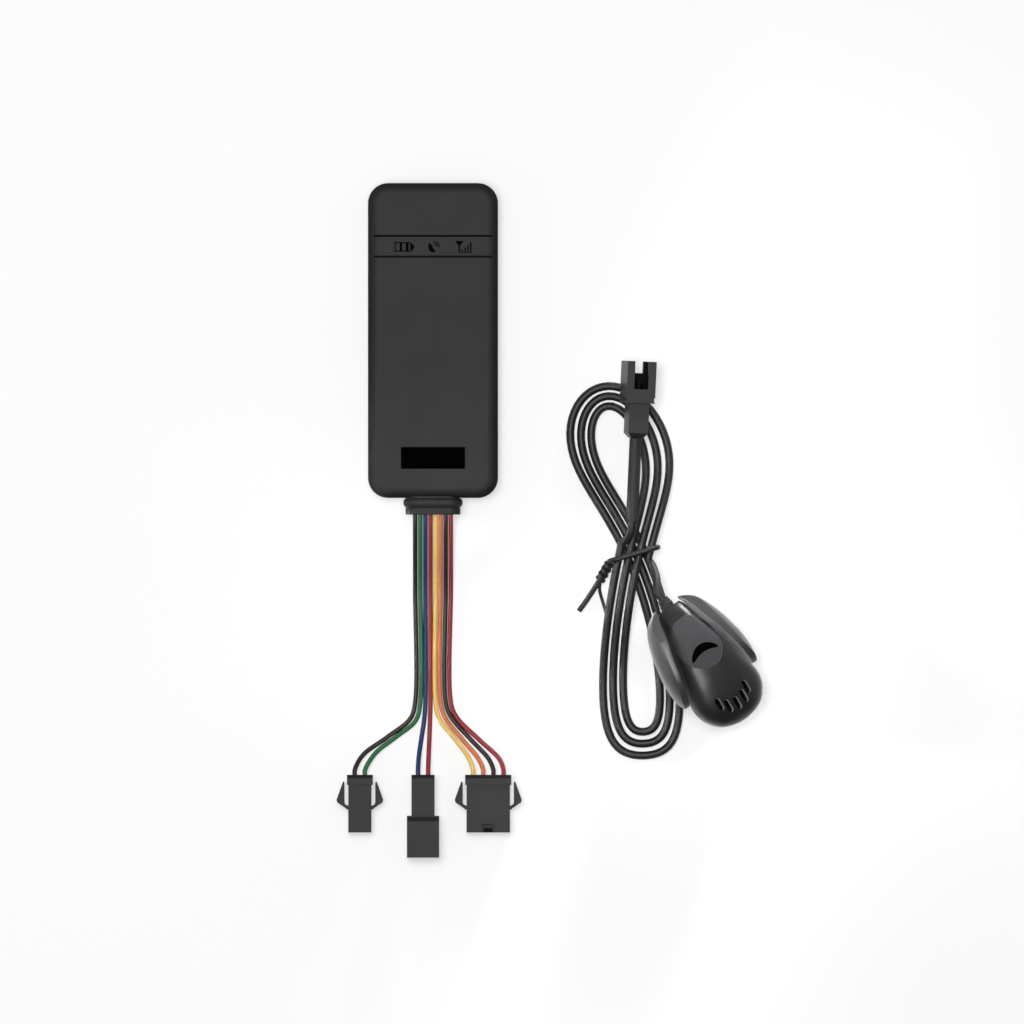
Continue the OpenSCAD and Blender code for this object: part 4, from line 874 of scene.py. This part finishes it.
# a short first and last step keeps the ends of the two tubes flush at their joint
split, flush, steps_per_turn = 2.75, 0.0005, 96
steps_a, steps_b = round(split * steps_per_turn), round((hank_turns - split) * steps_per_turn)
hank_a = [hank_point(split), hank_point(split - flush)]
hank_a += [hank_point(split - split * k / steps_a) for k in range(1, steps_a + 1)]
line_a = [p * MM for p in hank_a + smooth_path(start_route[::-1], route_steps)]
cord_piece("mic_lead", line_a, cord_d * MM, MAT["lead_black"], ["mic_hank", "mic_lead_start"],
           cord_sides)
hank_b = [hank_point(hank_turns - (hank_turns - split) * k / steps_b) for k in range(steps_b)]
hank_b += [hank_point(split + flush), hank_point(split)]
line_b = [p * MM for p in smooth_path(end_route[::-1], route_steps) + hank_b]
lead_b = cord_piece("mic_lead_tail", line_b, cord_d * MM, MAT["lead_black"], ["mic_lead_end"],
                    cord_sides, body=None)
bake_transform(lead_b)

# microphone pod: station from the cord's end, half width, height above and depth below
POD_SHARES = [
    (0, 0.33, 0.35, 0.35), (0.03, 0.4, 0.45, 0.45), (0.1, 0.48, 0.62, 0.6),
    (0.2, 0.57, 0.8, 0.78), (0.3, 0.68, 0.92, 0.9), (0.4, 0.77, 0.98, 0.97),
    (0.5, 0.85, 1, 1), (0.6, 0.915, 1, 1), (0.68, 0.97, 0.975, 0.97),
    (0.76, 1, 0.92, 0.9), (0.835, 0.95, 0.83, 0.8), (0.9, 0.82, 0.7, 0.68),
    (0.95, 0.64, 0.53, 0.52), (0.985, 0.38, 0.32, 0.32), (1, 0.12, 0.12, 0.12),
]
pod_boxy, pod_least, pod_steps, pod_rings = 2.7, 0.3, 36, 54


def table_at(rows, s, col):
    """Smooth value between the rows of a table of shares."""
    s = min(max(s, rows[0][0]), rows[-1][0])
    i = 0
    while i < len(rows) - 2 and s > rows[i + 1][0]:
        i += 1
    x0, x1 = rows[i][0], rows[i + 1][0]
    y0, y1 = rows[i][col], rows[i + 1][col]

    def rise(k):
        return (rows[k + 1][col] - rows[k][col]) / (rows[k + 1][0] - rows[k][0])

    def slope(k):
        if k in (0, len(rows) - 1):
            return rise(min(k, len(rows) - 2))
        d0, d1 = rise(k - 1), rise(k)
        return 0 if d0 * d1 <= 0 else 2 * d0 * d1 / (d0 + d1)

    h = x1 - x0
    t = (s - x0) / h
    return (y0 * (2 * t ** 3 - 3 * t ** 2 + 1) + slope(i) * h * (t ** 3 - 2 * t ** 2 + t)
            + y1 * (3 * t ** 2 - 2 * t ** 3) + slope(i + 1) * h * (t ** 3 - t ** 2))


def pod_half(x):
    return pod_w / 2 * table_at(POD_SHARES, (x - head_x) / pod_l, 1)


def half_pod(name, side, inset, wall=pod_wall):
    """Closed shell of half the pod, from one depth under its surface to another."""
    count = pod_steps
    outer, inner = [], []
    for j in range(pod_rings + 1):
        s = 0.5 - 0.5 * math.cos(math.pi * j / pod_rings)
        for store, d in ((outer, inset), (inner, inset + wall)):
            x = head_x + d + s * (pod_l - 2 * d)
            w = max(pod_least, table_at(POD_SHARES, s, 1) * pod_w / 2 - d)
            h = table_at(POD_SHARES, s, 2) * pod_top if side > 0 else table_at(POD_SHARES, s, 3) * pod_belly
            h = max(pod_least, h - d)
            row = []
            for k in range(count + 1):
                a = math.pi * k / count
                z = side * h * max(0.0, math.sin(a)) ** (2 / pod_boxy)
                y = -side * w * sign_power(math.cos(a), 2 / pod_boxy)
                if k in (0, count):
                    z = 0.0
                row.append(Vector((x, y, z)))
            store.append(row)
    rows = [o + i[::-1] for o, i in zip(outer, inner)]
    m = len(rows[0])
    verts = [v for r in rows for v in r]
    faces = side_faces(len(rows), m)
    for k in range(count):
        faces.append((k, k + 1, m - 2 - k, m - 1 - k))
    tail = (len(rows) - 1) * m
    faces.append(tuple(tail + k for k in range(count + 1)))
    faces.append(tuple(tail + k for k in range(count + 1, m)))
    faces.append((tail, tail + count, tail + count + 1, tail + m - 1))
    return mesh_from(name, verts, faces, 40)


panel_l, panel_w, panel_t, panel_x, panel_gap, panel_sides = 14.4, 11.4, 0.7, -5.2, 0.1, 96
plate_low, recess_low, plate_high, above_pod = 1.5, 1.45, 12, -1
panel_sink, recess_extra, crescent_sink, crescent_low, crescent_bed = 0.05, 0.04, 0.07, 0.3, 0.34
vent_l, vent_w, vent_x, vent_ring_r, VENT_DEGREES = 3.4, 1.35, 7.9, 4.9, (-56, -28, 0, 28, 56)
upper_inset, lower_inset, shell_edge, panel_edge = 0.05, 0.17, 0.12, 0.1
bore_before, shell_bore_to, shell_bore_r = 1, 7, 1.05
pin_x, pin_z, pin_r, pin_l, pin_root, pin_sides = -3, -1.5, 1.2, 2.75, 0.75, 28


def on_pod(outline, low, top, depth):
    """Plate with an outline seen from above, between two depths under the pod's surface."""
    plate = prism("plate", [(x + panel_x, y) for x, y in outline], low, plate_high)
    return made(plate, [half_pod("layer", 1, top, depth - top)], "INTERSECT")


def vent_cutters():
    """Cutters for the row of short slots round the pod's far end."""
    cutters = []
    for deg in VENT_DEGREES:
        a = math.radians(deg)
        mesh = prism("s", slot_outline(vent_l, vent_w), 0, plate_high)
        place = (vent_x + vent_ring_r * math.cos(a), vent_ring_r * math.sin(a), 0)
        mesh.transform(Matrix.Translation(place))
        cutters.append(mesh)
    return cutters


def bore(x0, x1, r, sides=24):
    return tube("b", [(x0, 0, 0), (x1, 0, 0)], r, sides)


def cross_pin(y0, y1, r):
    """Round bar across the pod, on the axis of its tilt."""
    return tube("p", [(pin_x, y0, pin_z), (pin_x, y1, pin_z)], r, pin_sides)


panel_outline = ellipse(panel_l / 2, panel_w / 2, panel_sides)
recess_outline = ellipse((panel_l + panel_gap) / 2, (panel_w + panel_gap) / 2, panel_sides)
upper = link("mic_upper_shell_moulded", half_pod("mic_upper", 1, upper_inset), MAT["pod_black"])
recess = on_pod(recess_outline, recess_low, above_pod, panel_t + recess_extra)
carve(upper, vent_cutters() + [recess, bore(head_x - bore_before, head_x + shell_bore_to, shell_bore_r)])
bevel(upper, shell_edge, bevel_angle)

lower = link("mic_lower_shell_moulded", half_pod("mic_lower", -1, lower_inset), MAT["pod_black"])
root_y = pod_half(pin_x) - pin_root
pins = [cross_pin(s * root_y, s * root_y + s * pin_l, pin_r) for s in (-1, 1)]
carve(lower, [bore(head_x - bore_before, head_x + shell_bore_to, shell_bore_r)])
carve(lower, pins, "UNION")


def crescent_outline(grow, steps=32):
    """Outline of the bowed mark near the panel's far end, made larger all round by grow."""
    half, rise, inner, blunt = 3.8, 2.75, 0.65, 0.4
    upper, lower = [], []
    for k in range(steps + 1):
        s = math.sin(math.pi * (k / steps - 0.5))
        bow = (rise + inner) / 2 * (1 - s * s)
        thick = (rise - inner) / 2 * max(0.0, 1 - s * s) ** blunt + grow
        upper.append((panel_l / 4 - bow - thick, (half + grow) * s))
        lower.append((panel_l / 4 - bow + thick, (half + grow) * s))
    return upper + lower[::-1]


panel = link("mic_panel_moulded", on_pod(panel_outline, plate_low, panel_sink, panel_t), MAT["panel_grey"])
carve(panel, [on_pod(crescent_outline(panel_gap / 2), plate_low, above_pod, crescent_bed)])
bevel(panel, panel_edge, bevel_angle)

crescent_plate = on_pod(crescent_outline(0), plate_low, crescent_sink, crescent_low)
crescent = link("mic_crescent_inlay", crescent_plate, MAT["gloss_black"])

# strain relief: a tapered sleeve with three ribs
boot_tip_r, boot_root_r, boot_taper_to, boot_steps, boot_sides = 1.375, 1.8, 0.75, 24, 40
rib_h, rib_waves, ribs_to, rib_foot = 0.12, 7, 0.8, 0.1
boot_in, boot_in_r, boot_bore_to, boot_bore_r = 1.9, 1.45, 4, 1.025
profile = []
for k in range(boot_steps + 1):
    t = k / boot_steps
    base = boot_tip_r + (boot_root_r - boot_tip_r) * min(1, t / boot_taper_to)
    rib = rib_h * max(0.0, math.sin(t * math.pi * rib_waves)) if t < ribs_to else 0
    profile.append((head_x - boot_l + boot_l * t, base - rib_foot + rib))
profile.append((head_x + boot_in, boot_in_r))
rings = [[(x, y, z) for y, z in ellipse(r, r, boot_sides)] for x, r in profile]
boot = link("mic_boot_moulded", loft("boot", rings, 50), MAT["rubber_black"])
carve(boot, [bore(head_x - boot_l - bore_before, head_x + boot_bore_to, boot_bore_r, 32)])

# microphone bracket: place along its length, and half width across the two wings
WING_SHARES = [
    (-0.02, 0.24), (0.02, 0.38), (0.1, 0.6), (0.23, 0.75), (0.41, 0.88), (0.52, 0.93),
    (0.66, 0.985), (0.8, 1), (0.92, 0.98), (1, 0.93), (1.06, 0.88),
]
# its outline from the side, as length and height: over the top to the foot, and up again behind the foot
OVER_SHARES = [
    (0, 0.66), (0.03, 0.78), (0.13, 0.89), (0.34, 0.98), (0.59, 1), (0.8, 0.94), (0.93, 0.82),
    (1, 0.66), (0.965, 0.53), (0.89, 0.4), (0.84, 0.19), (0.82, 0),
]
BEHIND_SHARES = [(0.36, 0), (0.33, 0.19), (0.24, 0.39), (0.11, 0.51), (0.03, 0.57)]
wing_l, wing_h, wing_x, wing_gap, foot_t = 24.1, 13.6, head_x - 1, 0.3, 1.5
wing_from, wing_span, wing_steps, wing_inset, wing_boxy = -0.02, 1.08, 48, 0.02, 2.4
wing_up, wing_down, wing_top_cut, side_reach = 7.2, axis_h * 1.15, 0.1, 20
room_from, room_extra, room_steps, room_turns, room_boxy = 1, 3, 40, 28, 3
head_steps, pin_bore_from, pin_bore_past, pin_bore_r = 20, 4, 2.1, 1.25
bracket_edge, bracket_angle, bracket_segments = 0.25, 45, 3


def room_half(x):
    """Half width of the room that the pod needs between the wings while it tilts."""
    return pod_half(x - pin_z * math.sin(tilt_most)) + wing_gap


def round_section(x, w, up, down, e, count=72):
    ring = []
    for k in range(count):
        a = 2 * math.pi * k / count
        y = -w * sign_power(math.cos(a), 2 / e)
        ring.append((x, y, (up if math.sin(a) > 0 else down) * sign_power(math.sin(a), 2 / e)))
    return ring


def wing_body():
    rings = []
    for k in range(wing_steps + 1):
        s = wing_from + wing_span * k / wing_steps
        w = table_at(WING_SHARES, s, 1) * bracket_w / 2 - wing_inset
        rings.append(round_section(wing_x + s * wing_l, w, wing_up, wing_down, wing_boxy))
    return loft("bracket", rings, 40)


def wing_side():
    """Prism across the bracket, with its outline from the side."""
    over, behind = [[Vector((wing_x + s * wing_l, h * wing_h - axis_h, 0)) for s, h in rows]
                    for rows in (OVER_SHARES, BEHIND_SHARES)]
    curve = smooth_path(over, 5) + smooth_path(behind + [over[0]], 5)[:-1]
    top = wing_h - axis_h - wing_top_cut
    mesh = prism("s", [(p.x, min(p.y, top)) for p in curve], -side_reach, side_reach)
    mesh.transform(Matrix.Rotation(math.pi / 2, 4, "X"))
    return mesh


def pod_room():
    """Room for the pod between the wings, open above."""
    rings = []
    for k in range(room_steps + 1):
        x = wing_x - room_from + k * (wing_l + room_extra) / room_steps
        w = room_half(x)
        ring = [(x, w, wing_h)]
        for j in range(room_turns + 1):
            a = math.pi * j / room_turns
            z = -(axis_h - foot_t) * max(0.0, math.sin(a)) ** (2 / room_boxy)
            ring.append((x, w * sign_power(math.cos(a), 2 / room_boxy), z))
        rings.append(ring + [(x, -w, wing_h)])
    return loft("room", rings, 40)


def head_room():
    """Room through the whole height at the cord's end of the pod."""
    end = wing_x + pod_l / 2 + pin_x - 2 * pod_wall
    xs = [wing_x - room_from + k * (end - wing_x + room_from) / head_steps for k in range(head_steps + 1)]
    outline = [(x, room_half(x)) for x in xs] + [(x, -room_half(x)) for x in xs[::-1]]
    return prism("h", outline, -side_reach, side_reach)


bracket = link("mic_bracket_moulded", wing_body(), MAT["bracket_grey"])
carve(bracket, [wing_side()], "INTERSECT")
bores = [cross_pin(s * pin_bore_from, s * (pod_half(pin_x) + pin_bore_past), pin_bore_r) for s in (-1, 1)]
carve(bracket, [pod_room(), head_room()] + bores)
bevel(bracket, bracket_edge, bracket_angle, bracket_segments)
MICROPHONE = (
    (upper, POD, "mic_upper_shell"), (lower, POD, "mic_lower_shell"), (panel, POD, "mic_panel"),
    (crescent, POD, "mic_crescent"), (boot, POD, "mic_boot"), (bracket, ROOT, "mic_bracket"),
)
for obj, body, node_name in MICROPHONE:
    obj.data.transform(TO_POD)
    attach(obj, body)
    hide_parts(node_name)

# stage: paper that is white where it is seen, and throws little light back on the piece
paper_lit, paper_seen, glow_strength, glow_part = 0.05, 0.97, 1.0, 0.5
floor_half, floor_low, floor_top = 3, -0.01, -0.00003


def grey(value):
    return (value, value, value, 1)


def floor_material():
    mat = bpy.data.materials.new("floor")
    mat.use_nodes = True
    nt = mat.node_tree
    nt.nodes.clear()
    out = add_node(nt, "ShaderNodeOutputMaterial")
    ray = add_node(nt, "ShaderNodeLightPath")
    seen = ray.outputs["Is Camera Ray"]
    for kind in ("Is Glossy Ray", "Is Transmission Ray"):
        either = add_node(nt, "ShaderNodeMath")
        either.operation = "MAXIMUM"
        nt.links.new(seen, either.inputs[0])
        nt.links.new(ray.outputs[kind], either.inputs[1])
        seen = either.outputs[0]
    tone = add_node(nt, "ShaderNodeMix")
    tone.data_type = "RGBA"
    tone.inputs["A"].default_value = grey(paper_lit)
    tone.inputs["B"].default_value = grey(paper_seen)
    nt.links.new(seen, tone.inputs["Factor"])
    paper = add_node(nt, "ShaderNodeBsdfDiffuse")
    wire(nt, tone, "Result", paper, "Color")
    glow = add_node(nt, "ShaderNodeEmission", {"Strength": glow_strength})
    part = add_node(nt, "ShaderNodeMath", {1: glow_part})
    part.operation = "MULTIPLY"
    nt.links.new(seen, part.inputs[0])
    mixed = add_node(nt, "ShaderNodeMixShader")
    wire(nt, part, 0, mixed, 0)
    wire(nt, paper, "BSDF", mixed, 1)
    wire(nt, glow, 0, mixed, 2)
    wire(nt, mixed, 0, out, "Surface")
    return mat


floor_outline = rectangle(-floor_half, -floor_half, floor_half, floor_half)
floor = link("floor", prism("floor", floor_outline, floor_low, floor_top), floor_material())

# even light from above, darker towards the horizon
SKY_STOPS, sky_strength = [(0.1, (0.03, 0.03, 0.03)), (0.85, (1, 1, 1))], 0.25
world = bpy.data.worlds.new("world")
world.use_nodes = True
nt = world.node_tree
sky = nt.nodes["Background"]
sky.inputs["Strength"].default_value = sky_strength
coord = add_node(nt, "ShaderNodeTexCoord")
axes = add_node(nt, "ShaderNodeSeparateXYZ")
ramp = add_node(nt, "ShaderNodeValToRGB")
set_ramp(ramp, SKY_STOPS)
wire(nt, coord, "Generated", axes, "Vector")
wire(nt, axes, "Z", ramp, "Fac")
wire(nt, ramp, "Color", sky, "Color")
scene.world = world

# name, place, point it aims at, width and height, watts and spread in degrees
LAMPS = [
    ("key", (-0.1, 0.05, 1.2), (0.02, -0.04, 0), (0.45, 0.45), 11.5, 180),
    ("left", (-0.7, -0.2, 0.4), (0.03, -0.04, 0), (0.35, 0.8), 0.35, 180),
    ("right", (0.8, 0.25, 0.35), (0.03, -0.04, 0), (0.3, 0.8), 0.35, 180),
    ("wing_right", (0.154, 0.21, 0.06), (0.074, -0.06, 0.01), (0.07, 0.04), 0.02, 16),
    ("wing_left", (-0.236, -0.04, 0.08), (0.058, -0.07, 0.01), (0.07, 0.04), 0.013, 16),
]


def area(name, location, target, size, energy, spread):
    data = bpy.data.lights.new(name, "AREA")
    data.shape = "RECTANGLE"
    data.size, data.size_y = size
    data.energy = energy
    data.spread = math.radians(spread)
    obj = bpy.data.objects.new(name, data)
    obj.location = location
    direction = Vector(target) - Vector(location)
    obj.rotation_euler = direction.to_track_quat("-Z", "Y").to_euler()
    scene.collection.objects.link(obj)


for lamp in LAMPS:
    area(*lamp)
